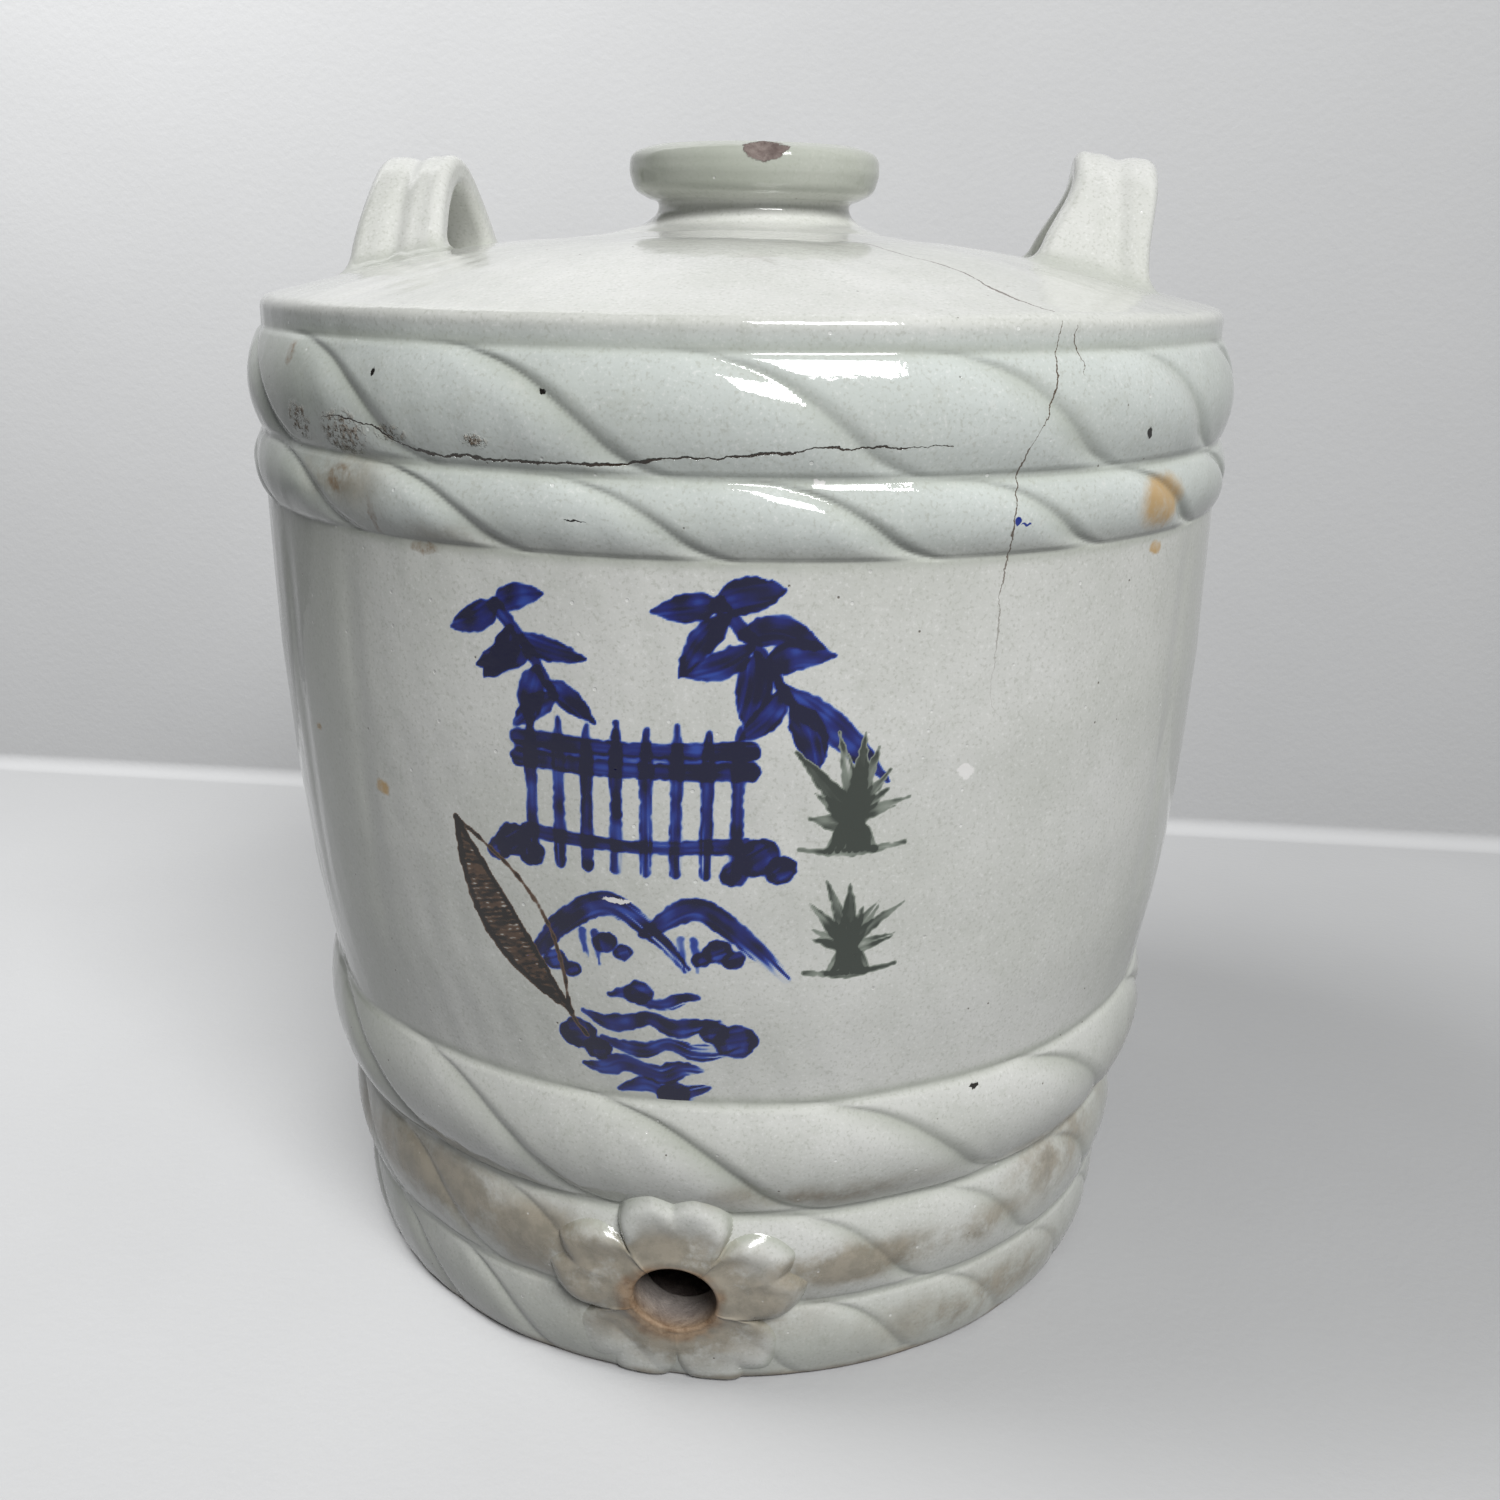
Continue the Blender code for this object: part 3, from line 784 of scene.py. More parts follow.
# For each channel of the painting, washes from thin to thick: share of paint from, to, colour.
PAINT_WASHES = (
    (0, ((0.03, 0.22, (0.25, 0.34, 0.56)), (0.16, 0.42, (0.022, 0.062, 0.36)),
         (0.40, 0.72, (0.004, 0.009, 0.145)), (0.66, 0.98, (0.0010, 0.0014, 0.030)))),
    (1, ((0.05, 0.40, (0.24, 0.27, 0.23)), (0.35, 0.85, (0.042, 0.052, 0.042)))),
    (2, ((0.05, 0.40, (0.12, 0.065, 0.035)), (0.35, 0.80, (0.010, 0.006, 0.004)))),
)


def make_glaze(name, low=0.0, high=-1.0, painted=False, brown_rim=False):
    """Crackled celadon glaze, with the flaws and cracks between two places on the profile."""
    s = Shader(name)
    wear = s.attribute("wear")
    stain, cool, bare = s.separate(wear.outputs["Color"])[:3]
    # alpha: glaze pooled in grooves and hollows, and painted shade on the jar's sides and lip
    pool = wear.outputs["Alpha"]
    chart = s.attribute("chart").outputs["Vector"]
    chart_x, chart_y = s.separate(chart, "ShaderNodeSeparateXYZ")[:2]

    # the glaze's colour: grey, cloudy, cooler on the upper ropes, and darker and greener where it pooled and
    # where shade is painted on the jar's sides and lip
    cloud, mottle, fine = s.noise(46, 3.0, 0.6), s.noise(5.5, 5.0, 0.72), s.noise(0.85, 1.0, 0.6)
    colour = s.mix(s.ramp(cloud, 0.35, 0.68), (0.590, 0.600, 0.560), (0.655, 0.660, 0.630))
    colour = s.mix(s.times(cool, 0.75, clamp=True), colour, (0.590, 0.640, 0.615))
    colour = s.mix(s.ramp(mottle, 0.50, 0.78, 0, 0.45), colour, (0.49, 0.51, 0.455))
    colour = s.mix(s.ramp(mottle, 0.42, 0.26, 0, 0.35), colour, (0.77, 0.77, 0.74))
    colour = s.mix(s.ramp(fine, 0.54, 0.74, 0, 0.46), colour, (0.42, 0.43, 0.38))
    colour = s.mix(s.ramp(fine, 0.42, 0.24, 0, 0.34), colour, (0.84, 0.84, 0.82))
    # pooled glaze and painted shade: darker and greener
    colour = s.mix(s.times(pool, s.ramp(cloud, 0.3, 0.7, 0.5, 0.8)), colour, (0.355, 0.38, 0.315))

    # brown-grey stains
    smear = s.ramp(s.noise(15, 6.0, 0.66), 0.30, 0.60, 0.35, 1.1)
    dirt = s.times(stain, smear, clamp=True)
    tan = s.mix(s.ramp(mottle, 0.38, 0.62), (0.235, 0.205, 0.150), (0.33, 0.285, 0.215))
    colour = s.mix(s.ramp(dirt, 0.08, 0.85, 0, 0.88), colour, tan)

    # iron specks and pits
    pick = s.separate(s.cells(5.2, "Color"))
    near = s.cells(5.2)
    speck = s.times(s.ramp(near, 0.070, 0.030), s.math("GREATER_THAN", pick[0], 0.74))
    pit = s.times(s.ramp(near, 0.10, 0.05), s.math("GREATER_THAN", pick[1], 0.72))
    colour = s.mix(s.times(speck, 0.85), colour, (0.10, 0.08, 0.06))
    colour = s.mix(s.times(pit, 0.5), colour, (0.86, 0.86, 0.84))

    # the brush painting under the glaze
    if painted:
        marks = s.separate(s.attribute("marks").outputs["Color"])
        for channel, washes in PAINT_WASHES:
            for start, end, wash in washes:
                colour = s.mix(s.ramp(marks[channel], start, end), colour, wash)

    # flaws and cracks
    flaws = flaw_masks(s, chart, low, high)
    cracks = crack_masks(s, chart_x, chart_y, low, high)
    rough_skin = bare
    if "ochre" in flaws:
        share = s.times(flaws["ochre"], s.ramp(mottle, 0.30, 0.60, 0.55, 0.95))
        colour = s.mix(share, colour, (0.50, 0.335, 0.150))
    if "rust" in flaws:
        share = s.times(flaws["rust"], s.ramp(mottle, 0.40, 0.62, 0.25, 0.9))
        colour = s.mix(share, colour, (0.23, 0.155, 0.085))
    if "rough" in flaws:
        scab = s.mix(s.ramp(fine, 0.40, 0.60), (0.13, 0.095, 0.065), (0.50, 0.46, 0.40))
        flaked = s.times(flaws["rough"], s.ramp(s.noise(1.9, 4.0, 0.7), 0.47, 0.56))
        colour = s.mix(flaked, colour, scab)
        rough_skin = s.math("MAXIMUM", bare, flaked)
    for kind, tone in FLAW_TONES.items():
        if kind in flaws:
            colour = s.mix(flaws[kind], colour, tone)
    hairs = [mask for key, mask in cracks.items() if key != "under_rope"]
    if hairs:
        faint = s.ramp(chart_y, float(run_at_height(183)), float(run_at_height(225)), 0.2, 1.0)
        colour = s.mix(s.times(largest(s, hairs), faint), colour, (0.12, 0.09, 0.065))
    # the open crack under the shoulder rope, painted nearly black: painted shade inside its gap
    if "under_rope" in cracks:
        colour = s.mix(cracks["under_rope"], colour, (0.035, 0.022, 0.014))

    # bare clay: the foot's edge, the inside, fractures and the iron-brown rim of the tap hole
    clay = s.mix(s.ramp(mottle, 0.35, 0.65), (0.13, 0.095, 0.085), (0.25, 0.205, 0.185))
    colour = s.mix(bare, colour, clay)
    if brown_rim:
        brown = s.mix(s.ramp(mottle, 0.36, 0.60), (0.20, 0.115, 0.055), (0.36, 0.245, 0.15))
        colour = s.mix(s.times(cool, 0.85), colour, brown)

    # gloss and relief
    gloss = s.ramp(cloud, 0.3, 0.7, 0.05, 0.10)
    gloss = s.add(dirt, 0.22, gloss)
    gloss = s.add(rough_skin, 0.62, gloss)
    if "ochre" in flaws:
        gloss = s.add(flaws["ochre"], 0.35, gloss)
    hollow = s.times(s.math("MAXIMUM", speck, pit), -0.07)
    height = s.add(s.noise(5.0, 3.0, 0.6), 0.115, hollow)
    height = s.add(s.times(rough_skin, s.noise(1.1, 4.0, 0.7)), 0.45, height)
    if "under_rope" in cracks:
        height = s.add(cracks["under_rope"], -0.25, height)
    return s.finish(colour, gloss, s.bump(height, 1.0), IOR=1.52)


def make_stage_paint(name, tone, unevenness):
    """Matt paint that shows on its front only, so that the wall never hides the jar from behind."""
    s = Shader(name)
    patch = s.noise(260, 4.0, 0.6)
    colour = s.mix(s.ramp(patch, 0.3, 0.7), tuple(t * (1 - unevenness) for t in tone), tone)
    front = s.minus(1.0, s.node("ShaderNodeNewGeometry").outputs["Backfacing"])
    return s.finish(colour, 0.75, s.bump(s.noise(3.0, 5.0, 0.6), 0.15), Alpha=front)


# ---------------------------------------------------------------- the brush painting

PAINT_LEFT, PAINT_RIGHT = -66.0, 66.0


def value_noise(x, y, seed):
    """Smooth noise between 0 and 1 with features one unit across."""
    rows, columns = 97, 89
    table = np.random.default_rng(seed).random((rows, columns))
    cell_x, cell_y = np.floor(x).astype(int), np.floor(y).astype(int)
    part_x, part_y = smooth(0, 1, x - cell_x), smooth(0, 1, y - cell_y)

    def across(row):
        here, beside = table[cell_x % rows, row % columns], table[(cell_x + 1) % rows, row % columns]
        return here * (1 - part_x) + beside * part_x

    return across(cell_y) * (1 - part_y) + across(cell_y + 1) * part_y


STROKE_STEP = 0.3


def flowing(points, steps):
    """A smooth path through points, and the length along it, at even short steps."""
    ends = np.vstack([2 * points[0] - points[1], points, 2 * points[-1] - points[-2]])
    path = []
    for a, b, c, d in zip(ends, ends[1:], ends[2:], ends[3:]):
        for s in np.linspace(0, 1, steps, endpoint=False):
            bend = (2 * a - 5 * b + 4 * c - d) * s**2 + (3 * b - a - 3 * c + d) * s**3
            path.append(0.5 * (2 * b + (c - a) * s + bend))
    return resampled(np.array(path + [points[-1]]), STROKE_STEP, STROKE_STEP)


class Canvas:
    """The painted stretch of the wall: arc is millimetres round the wall, z is height."""

    PIGMENTS = {"blue": 0, "green": 1, "brown": 2}

    def __init__(self, arc, z):
        self.arc, self.z = arc, z
        self.layers = np.zeros(arc.shape + (4,))
        self.count = 0

    def stroke(self, points, widths, tone=1.0, dry=0.0, pigment="blue", bleed=0.5):
        """One brush stroke through (arc, z) points; widths are half widths along it."""
        self.count += 1
        path, along = flowing(np.array(points, float), 16)
        share = along / along[-1]
        half = np.interp(share, np.linspace(0, 1, len(widths)), widths)
        reach = half.max() + 2.5
        low, high = path.min(0) - reach, path.max(0) + reach
        near = (self.arc > low[0]) & (self.arc < high[0]) & (self.z > low[1]) & (self.z < high[1])
        spot = np.stack([self.arc[near], self.z[near]], 1)
        if not len(spot):
            return
        nearest = np.zeros(len(spot), int)
        for start in range(0, len(spot), 20000):
            part = spot[start : start + 20000]
            apart = ((part[:, None, :] - path[None]) ** 2).sum(-1) - (half**2)[None] * 0.5
            nearest[start : start + 20000] = apart.argmin(1)
        away = spot - path[nearest]
        heading = unit(np.gradient(path, axis=0)[nearest])
        side = away[:, 0] * heading[:, 1] - away[:, 1] * heading[:, 0]
        distance = np.hypot(away[:, 0], away[:, 1])
        width = np.maximum(half[nearest], 0.05)
        edge = 0.5 * (value_noise(spot[:, 0] / 1.1, spot[:, 1] / 1.1, 900 + self.count) - 0.5)
        inside = smooth(0.32, -0.32, distance - width - edge)
        bristle = value_noise(side * 1.7 + 40, along[nearest] * 0.10 + 9, 500 + self.count)
        dryness = dry * smooth(0.25, 1.0, share[nearest])
        cover = inside * smooth(dryness - 0.28, dryness + 0.10, bristle + 0.12)
        pool = 0.16 * smooth(0.55, 1.0, distance / width) + 0.22 * smooth(0.80, 1.0, share[nearest])
        pool += 0.18 * smooth(0.16, 0.0, share[nearest])
        wash = value_noise(spot[:, 0] / 3.4, spot[:, 1] / 3.4, 300 + self.count) - 0.5
        load = 0.74 + pool * (1 - dry) + 0.60 * wash + 0.34 * (bristle - 0.5)
        density = cover * np.clip(tone * load, 0, 1.3)
        density += 0.16 * tone * bleed * hump(np.maximum(distance - width, 0), 0.55) * (1 - cover)
        channel = self.PIGMENTS[pigment]
        before = self.layers[near, channel]
        self.layers[near, channel] = np.minimum(before + density * (1 - 0.62 * np.minimum(before, 1)), 1.4)

    def dab(self, arc, z, size, tone=1.0, lean=0.0):
        """A short press of the brush."""
        step = np.array([np.cos(lean), np.sin(lean)]) * size * 0.35
        self.stroke([(arc - step[0], z - step[1]), (arc, z), (arc + step[0], z + step[1])],
                    [size * 0.8, size, size * 0.75], tone)

    def leaf(self, arc, z, length, turn, width, tone=1.0, dry=0.25, bend=0.12, **more):
        """A long leaf from its stalk end at (arc, z)."""
        along = np.array([np.cos(turn), np.sin(turn)])
        aside = np.array([-along[1], along[0]]) * bend * length
        start = np.array([arc, z])
        middle, tip = start + along * length * 0.45 + aside, start + along * length
        widths = [width * 0.25, width * 0.95, width, width * 0.65, 0.12]
        self.stroke([start, middle, tip], widths, tone, dry, **more)


def within(left, right, bottom, top):
    """Turns shares of a rectangle's width and height into a place on the wall."""
    return lambda x, y: (left + (right - left) * x, bottom + (top - bottom) * y)


def paint_spray(canvas, arc, z, size, seed, leaves):
    """A spray of bamboo leaves hanging from a short twig; a leaf is its turn, length and place on the twig."""
    draw = np.random.default_rng(seed)
    twig = ((-0.30, 0.44), (-0.06, 0.16), (0.18, -0.22))
    first, bend, last = ((arc + x * size, z + y * size) for x, y in twig)
    canvas.stroke([first, bend, last], [1.5, 1.1, 0.8], 1.0)
    for turn, reach, share in leaves:
        root = (1 - share) * np.array(first) + share * np.array(last)
        turn = np.radians(turn) + draw.uniform(-0.08, 0.08)
        canvas.leaf(root[0], root[1], reach * size, turn, 0.098 * size * draw.uniform(0.85, 1.2),
                    draw.uniform(0.95, 1.18), draw.uniform(0.1, 0.35), draw.uniform(-0.12, 0.16))


def paint_fence(canvas, left, right, bottom, top):
    """A garden fence: pickets through a stout top rail and a thinner lower one, with a bush at each end."""
    width, middle, rail = right - left, 0.5 * (left + right), top - 6.5
    for up, half, tone, dry in ((2.3, 2.0, 1.0, 0.1), (-2.3, 2.1, 1.0, 0.1), (0.1, 1.2, 0.5, 0.75)):
        canvas.stroke([(left, rail + up), (middle, rail + up - 0.4), (right, rail + up + 0.3)],
                      [half, 0.8 * half, half], tone, dry)
    pickets = 8
    for i in range(pickets):
        at = left + width * (0.05 + 0.90 * i / (pickets - 1))
        line = [(at + 0.4, top + 1.2 * (i % 2)), (at, 0.5 * (bottom + top)), (at - 0.3, bottom - 0.5)]
        canvas.stroke(line, [0.5, 1.6, 1.1, 1.4, 1.2], 0.98, 0.5)
    low_rail = [(left + 1, bottom + 6.2), (middle, bottom + 5.2), (right - 1, bottom + 6.4)]
    canvas.stroke(low_rail, [1.7, 1.3, 1.9], 1.0, 0.35)
    for at, high, size in (
        (-3.0, 0.10, 3.9), (-6.5, 0.02, 2.8), (2.0, 0.02, 2.9),
        (width + 2, 0.12, 4.4), (width + 7, 0.03, 3.2), (width - 3, 0.0, 3.0),
    ):
        canvas.dab(left + at, bottom + high * (top - bottom), size, 1.08, 0.6)


def paint_hill(canvas, *box):
    """Two overlapping hills with a few trees on their slopes."""
    at = within(*box)
    hills = (
        ([1.2, 2.6, 3.0, 2.0, 0.8], (0.0, 0.0), (0.14, 0.62), (0.33, 1.0), (0.52, 0.55), (0.62, 0.12)),
        ([1.0, 2.8, 2.6, 2.2, 0.9], (0.46, 0.60), (0.62, 0.98), (0.72, 0.92), (0.88, 0.45), (1.0, 0.0)),
    )
    for widths, *outline in hills:
        canvas.stroke([at(*place) for place in outline], widths, 1.05, 0.65)
    for x, y, size in (
        (0.10, 0.05, 2.6), (0.17, -0.05, 2.0), (0.31, 0.42, 2.6), (0.38, 0.30, 2.0),
        (0.74, 0.40, 3.0), (0.80, 0.28, 2.2), (0.68, 0.28, 2.0),
    ):
        canvas.dab(*at(x, y), size, 1.1, 0.4)
    for x in (0.22, 0.27, 0.60, 0.65):
        canvas.stroke([at(x, 0.55), at(x + 0.015, 0.1)], [0.9, 0.5], 0.6, 0.9)


def paint_stream(canvas, *box):
    """Ripples of a stream between rounded stones."""
    at = within(*box)
    for level, start, end, bold in (
        (0.92, 0.26, 0.74, 1.1), (0.70, 0.10, 0.86, 1.5), (0.47, 0.20, 0.96, 1.4),
        (0.25, 0.08, 0.76, 1.7), (0.06, 0.28, 0.80, 1.3),
    ):
        points = [at(x, level + 0.045 * np.sin(17 * x + 9 * level)) for x in np.linspace(start, end, 7)]
        canvas.stroke(points, [0.5, 1.6 * bold, 1.1 * bold, 1.7 * bold, 0.5], 0.98, 0.55)
    for x, y, size in (
        (0.06, 0.52, 3.7), (0.17, 0.40, 2.7), (0.95, 0.56, 4.0),
        (0.83, 0.64, 2.6), (0.60, 0.02, 3.2), (0.42, 0.97, 2.7),
    ):
        canvas.dab(*at(x, y), 1.15 * size, 1.1, 0.2)


def paint_reeds(canvas, arc, bottom, size, seed):
    """A tuft of reeds in thin green-black paint."""
    draw = np.random.default_rng(seed)
    for i in range(9):
        lean = np.radians(90 + (i - 4) * 15 + draw.uniform(-5, 5))
        length = size * draw.uniform(0.62, 1.0) * (1 - 0.045 * abs(i - 4))
        root = arc + (i - 4) * 0.045 * size
        width, tone = 0.062 * size * draw.uniform(0.8, 1.25), draw.uniform(0.8, 1.0)
        canvas.leaf(root, bottom, length, lean, width, tone, draw.uniform(0.15, 0.5), -0.06 * (i - 4) / 2,
                    pigment="green", bleed=0.25)
    ground = [(arc - 0.36 * size, bottom + 0.6), (arc, bottom - 0.5), (arc + 0.40 * size, bottom + 0.9)]
    canvas.stroke(ground, [0.5, 1.0, 0.4], 0.9, 0.3, "green", 0.25)


def paint_broad_leaf(canvas, tip, root, belly):
    """A large leaf drawn with a fine brown line, hatched on one side of its midrib."""
    tip, root = np.array(tip, float), np.array(root, float)
    along = root - tip
    aside = np.array([along[1], -along[0]]) / np.linalg.norm(along) * belly
    line = dict(pigment="brown", bleed=0.1)
    outer, inner, rib = (1, 1.0, 0.55, 0.8, 0.5), (-0.95, 0.95, 0.40, 0.42, 0.38), (-0.10, 1.0, 0.6, 0.42, 0.5)
    for out, tone, *widths in (outer, inner, rib):
        points = [tip + along * s + aside * out * np.sin(np.pi * s) for s in np.linspace(0, 1, 7)]
        canvas.stroke(points, widths, tone, **line)
    for s in np.linspace(0.05, 0.95, 40):
        start = tip + along * s - aside * 0.08 * np.sin(np.pi * s)
        end = tip + along * (s - 0.05) + aside * 0.97 * np.sin(np.pi * max(s - 0.05, 0.01))
        canvas.stroke([start, 0.5 * (start + end), end], [0.42, 0.52, 0.42], 0.92, 0.25, **line)
    stalk = root + along / np.linalg.norm(along) * 7
    canvas.stroke([root, 0.5 * (root + stalk) + aside * 0.05, stalk], [0.5, 0.42, 0.55], 1.0, **line)


LEFT_SPRAY = (
    (205, 0.46, 0.0), (12, 0.42, 0.0), (242, 0.48, 0.25), (-14, 0.58, 0.35),
    (196, 0.46, 0.55), (262, 0.46, 0.7), (-38, 0.48, 0.85), (218, 0.45, 1.0),
)
RIGHT_SPRAY = (
    (190, 0.42, 0.0), (8, 0.42, 0.0), (232, 0.50, 0.12), (-12, 0.52, 0.3), (205, 0.46, 0.42),
    (262, 0.46, 0.5), (10, 0.44, 0.62), (-44, 0.98, 0.8), (228, 0.42, 0.85), (286, 0.46, 1.0),
)


def paint_wall(arc, z):
    """A generic garden scene in cobalt, with reeds and a large leaf: pictures only, no writing."""
    canvas = Canvas(arc, z)
    paint_spray(canvas, -29, 191, 28, 21, LEFT_SPRAY)
    paint_spray(canvas, 21, 192, 33, 22, RIGHT_SPRAY)
    paint_fence(canvas, -33, 18, 147, 179)
    paint_hill(canvas, -33, 27, 121, 138)
    paint_stream(canvas, -25, 18, 88, 117)
    paint_reeds(canvas, 40, 152, 31, 23)
    paint_reeds(canvas, 41, 122, 28, 24)
    paint_broad_leaf(canvas, (-51, 153), (-24, 109), 8.6)
    return canvas.layers


# ---------------------------------------------------------------- the turned pieces

COLUMNS = 864
PAINT_STEP = 0.36  # the mesh is this fine where the painting goes


def make_wall():
    """The wall: fine where it shows, coarse and sunk out of sight behind the rope bands."""
    arc_fine = even(PAINT_LEFT, PAINT_RIGHT, PAINT_STEP) / CHART_RADIUS
    rest = np.linspace(arc_fine[-1], arc_fine[0] + TURN, 222)[1:-1]
    phi = np.concatenate([arc_fine, rest])
    phi = np.concatenate([phi[phi >= np.pi] - TURN, phi[phi < np.pi]])
    seat, low, high, end = (run_at_height(z) for z in (foot_seat, waist_top, upper_bottom, upper.top))
    rows = (
        (even(0.2, seat, 0.9), 0.0),
        (even(seat + 0.01, low - 0.01, 2.0), 1.0),
        (even(low, high, PAINT_STEP), 0.0),
        (even(high + 0.01, end, 4.0), 1.0),
    )
    run = np.concatenate([r for r, _ in rows])
    hidden = np.concatenate([np.full(len(r), h) for r, h in rows])
    z = np.interp(run, runs, profile[:, 1])
    grid_phi, grid_run = np.meshgrid(phi, run)
    grid_z = np.interp(grid_run, runs, profile[:, 1])
    marks = paint_wall(grid_phi * CHART_RADIUS, np.where(hidden[:, None] > 0, -99.0, grid_z))
    crest = np.zeros_like(z)
    for rope in ropes:
        crest = np.where((z >= rope.bottom) & (z <= rope.top), rope.groove + 2.0, crest)
    sunk = hidden * (crest + 1.0)
    for rope in ropes:
        lift, valley = rope.lift(0.0, z)
        sunk += hidden * np.where((z > rope.bottom) & (z < rope.top), lift + rope.groove * valley, 0)
    skin_shell("barrel_wall", phi, run, sunk, WALL_THICKNESS + 3, marks)


def make_rope(rope, bottom):
    run = even(run_at_height(bottom), run_at_height(rope.top), 0.55)
    skin_shell(rope.node, full_turn(COLUMNS), run, None, 1.6)


def make_shoulder():
    """The rounded edge and the dome, with a tongue that drops inside the wall."""
    edge = runs[edge_index] + 4
    run = np.concatenate([
        even(run_at_height(shoulder.top), edge, 0.4)[:-1],
        even(edge, run_at_radius(SEAM_RADIUS), 1.0),
    ])
    closing = ((SEAM_RADIUS, 270), (100, 258), (116, 250), (117, 232.5), (124, 232.5), (124, 255))
    points, faces, shade, colours, charts = ring_parts(full_turn(COLUMNS), run, closing)
    glaze = make_glaze("celadon_shoulder", float(run.min()), float(run.max()))
    make_piece("shoulder_dome", points, faces, shade, glaze, colours, charts)


CHIP_TURN, CHIP_HEIGHT = 10.9, 295.0


def make_neck():
    """The neck, the rolled lip and the bore, with a V-shaped chip at the front of the lip."""
    run = even(run_at_radius(SEAM_RADIUS), runs[-1], 0.36)
    phi = full_turn(COLUMNS)
    points, faces, shade, colours, charts = ring_parts(phi, run, ((30, 268), (SEAM_RADIUS, 270)))
    # the skin is cut back to two fracture faces that meet in the chip's point
    turn = np.radians(CHIP_TURN)
    aside = np.array([np.cos(turn), np.sin(turn), 0.0])
    ahead = np.array([np.sin(turn), -np.cos(turn), 0.0])
    apex = np.array([NECK_SHIFT, 0, CHIP_HEIGHT]) + (LIP_RADIUS + 0.25) * ahead
    grain = value_noise(points[:, 0] / 1.5 + 50, points[:, 2] / 1.2 + points[:, 1] + 80, 31) - 0.5
    over = []
    for lean in (0.30, -0.22):
        facing = unit(lean * aside + 0.60 * ahead + np.array([0, 0, 0.66]))
        over.append(((points - apex) @ facing + 0.7 * grain, facing))
    outer = (points[:, 2] > CHIP_HEIGHT - 2) & (points @ ahead > 12)
    outer[len(run) * len(phi) :] = False
    for (depth, facing), (other, _) in (over, over[::-1]):
        near = outer & (depth > 0) & (other > 0) & (depth <= other)
        points[near] -= facing * depth[near][:, None]
        shade[near] = facing + 0.5 * grain[near][:, None] * aside
        colours["wear"][near, 2] = 1.0
    # the lip, from a little under the chip upwards, painted darker and greener: pooled glaze and painted shade
    colours["wear"][:, 3] = smooth(CHIP_HEIGHT - 10, CHIP_HEIGHT - 4, points[:, 2])
    make_piece("neck_and_lip", points, faces, unit(shade), make_glaze("celadon_neck"), colours, charts)


def make_floor():
    """The unglazed floor disc, slightly uneven."""
    low, high = box_mm("floor_disc")
    radius, pin = high[0], 2.0
    line = rounded([(pin, high[2], 0), (radius, high[2], 1.0), (radius, low[2], 1.0), (pin, low[2], 0)], 2.5)
    phi = full_turn(216)
    grid_phi, step = np.meshgrid(phi, np.arange(len(line)))
    uneven = 0.15 * np.sin(3 * grid_phi + step * 0.7) + 0.1 * np.sin(7 * grid_phi - step)
    r, z = line.T[..., None]
    points = turned(r, grid_phi, z + uneven * smooth(pin, 20, r)).reshape(-1, 3)
    faces = [grid_faces(len(line), len(phi), False)[:, ::-1],
             np.arange(len(phi))[None, :],
             (len(line) - 1) * len(phi) + np.arange(len(phi))[::-1][None, :]]
    colours = blank(len(points))
    colours["wear"][:, 2] = 1
    flat = np.zeros_like(points)
    make_piece("floor_disc", points, faces, flat, make_glaze("bare_floor"), colours, flat, "fired")


# ---------------------------------------------------------------- the blossom-shaped boss

PETALS = 5
PETAL_TIP, PETAL_GAP, PETAL_NOTCH = 33.5, 20.0, 3.6
HOLE_RADIUS = 10.2
PLUG_ROW = 20  # the row of the boss's front over the edge of its plug in the wall
RIM_ROUNDING = 1.1


def blossom(theta):
    """The boss's outline radius, and the share of the way from a petal's middle (0) to the gap (1)."""
    share = (PETALS * (theta - np.pi / 2) / TURN) % 1
    off = 2 * np.minimum(share, 1 - share)
    lobe = PETAL_GAP + (PETAL_TIP - PETAL_GAP) * np.sqrt(np.maximum(0, 1 - off**1.9))
    return lobe - PETAL_NOTCH * np.clip(1 - off / 0.25, 0, 1), off


def from_gap(off, rho):
    """Distance from the gap between two petals."""
    return (1 - off) * rho * np.pi / PETALS


def boss_height(rho, theta):
    """Height of the boss over the smooth foot of the jar."""
    outline, off = blossom(theta)
    inside = outline - rho
    low = 1 - 0.66 * smooth(2, -16, rho * np.sin(theta))
    edge = np.sqrt(np.clip(1 - (1 - np.clip(inside / 5.0, 0, 1)) ** 2, 0, 1))
    body = 4.0 * low * edge - 1.6 * np.clip(-inside, 0, 5)
    puff = 0.9 * low * hump(rho - 0.80 * outline, 4.2) * edge
    gap = (0.5 + 0.6 * low) * hump(from_gap(off, rho), 2.2) * smooth(15, 23, rho)
    fold = 0.5 * hump(off * rho * np.pi / PETALS, 1.8) * smooth(22, 30, rho)
    lean = np.maximum(0, HOLE_RADIUS + RIM_ROUNDING - rho)
    rim = RIM_ROUNDING - np.sqrt(np.maximum(0, RIM_ROUNDING**2 - lean**2))
    return body + puff - gap - fold + 0.4 * hump(rho - 12.5, 1.6) - rim


def smooth_max(a, b, k):
    """The larger of a and b, blended where they differ by less than k."""
    share = np.clip(0.5 + 0.5 * (a - b) / k, 0, 1)
    return b * (1 - share) + a * share + k * share * (1 - share)


BOSS_REACH = 38.0
TURNS_ROUND = 300


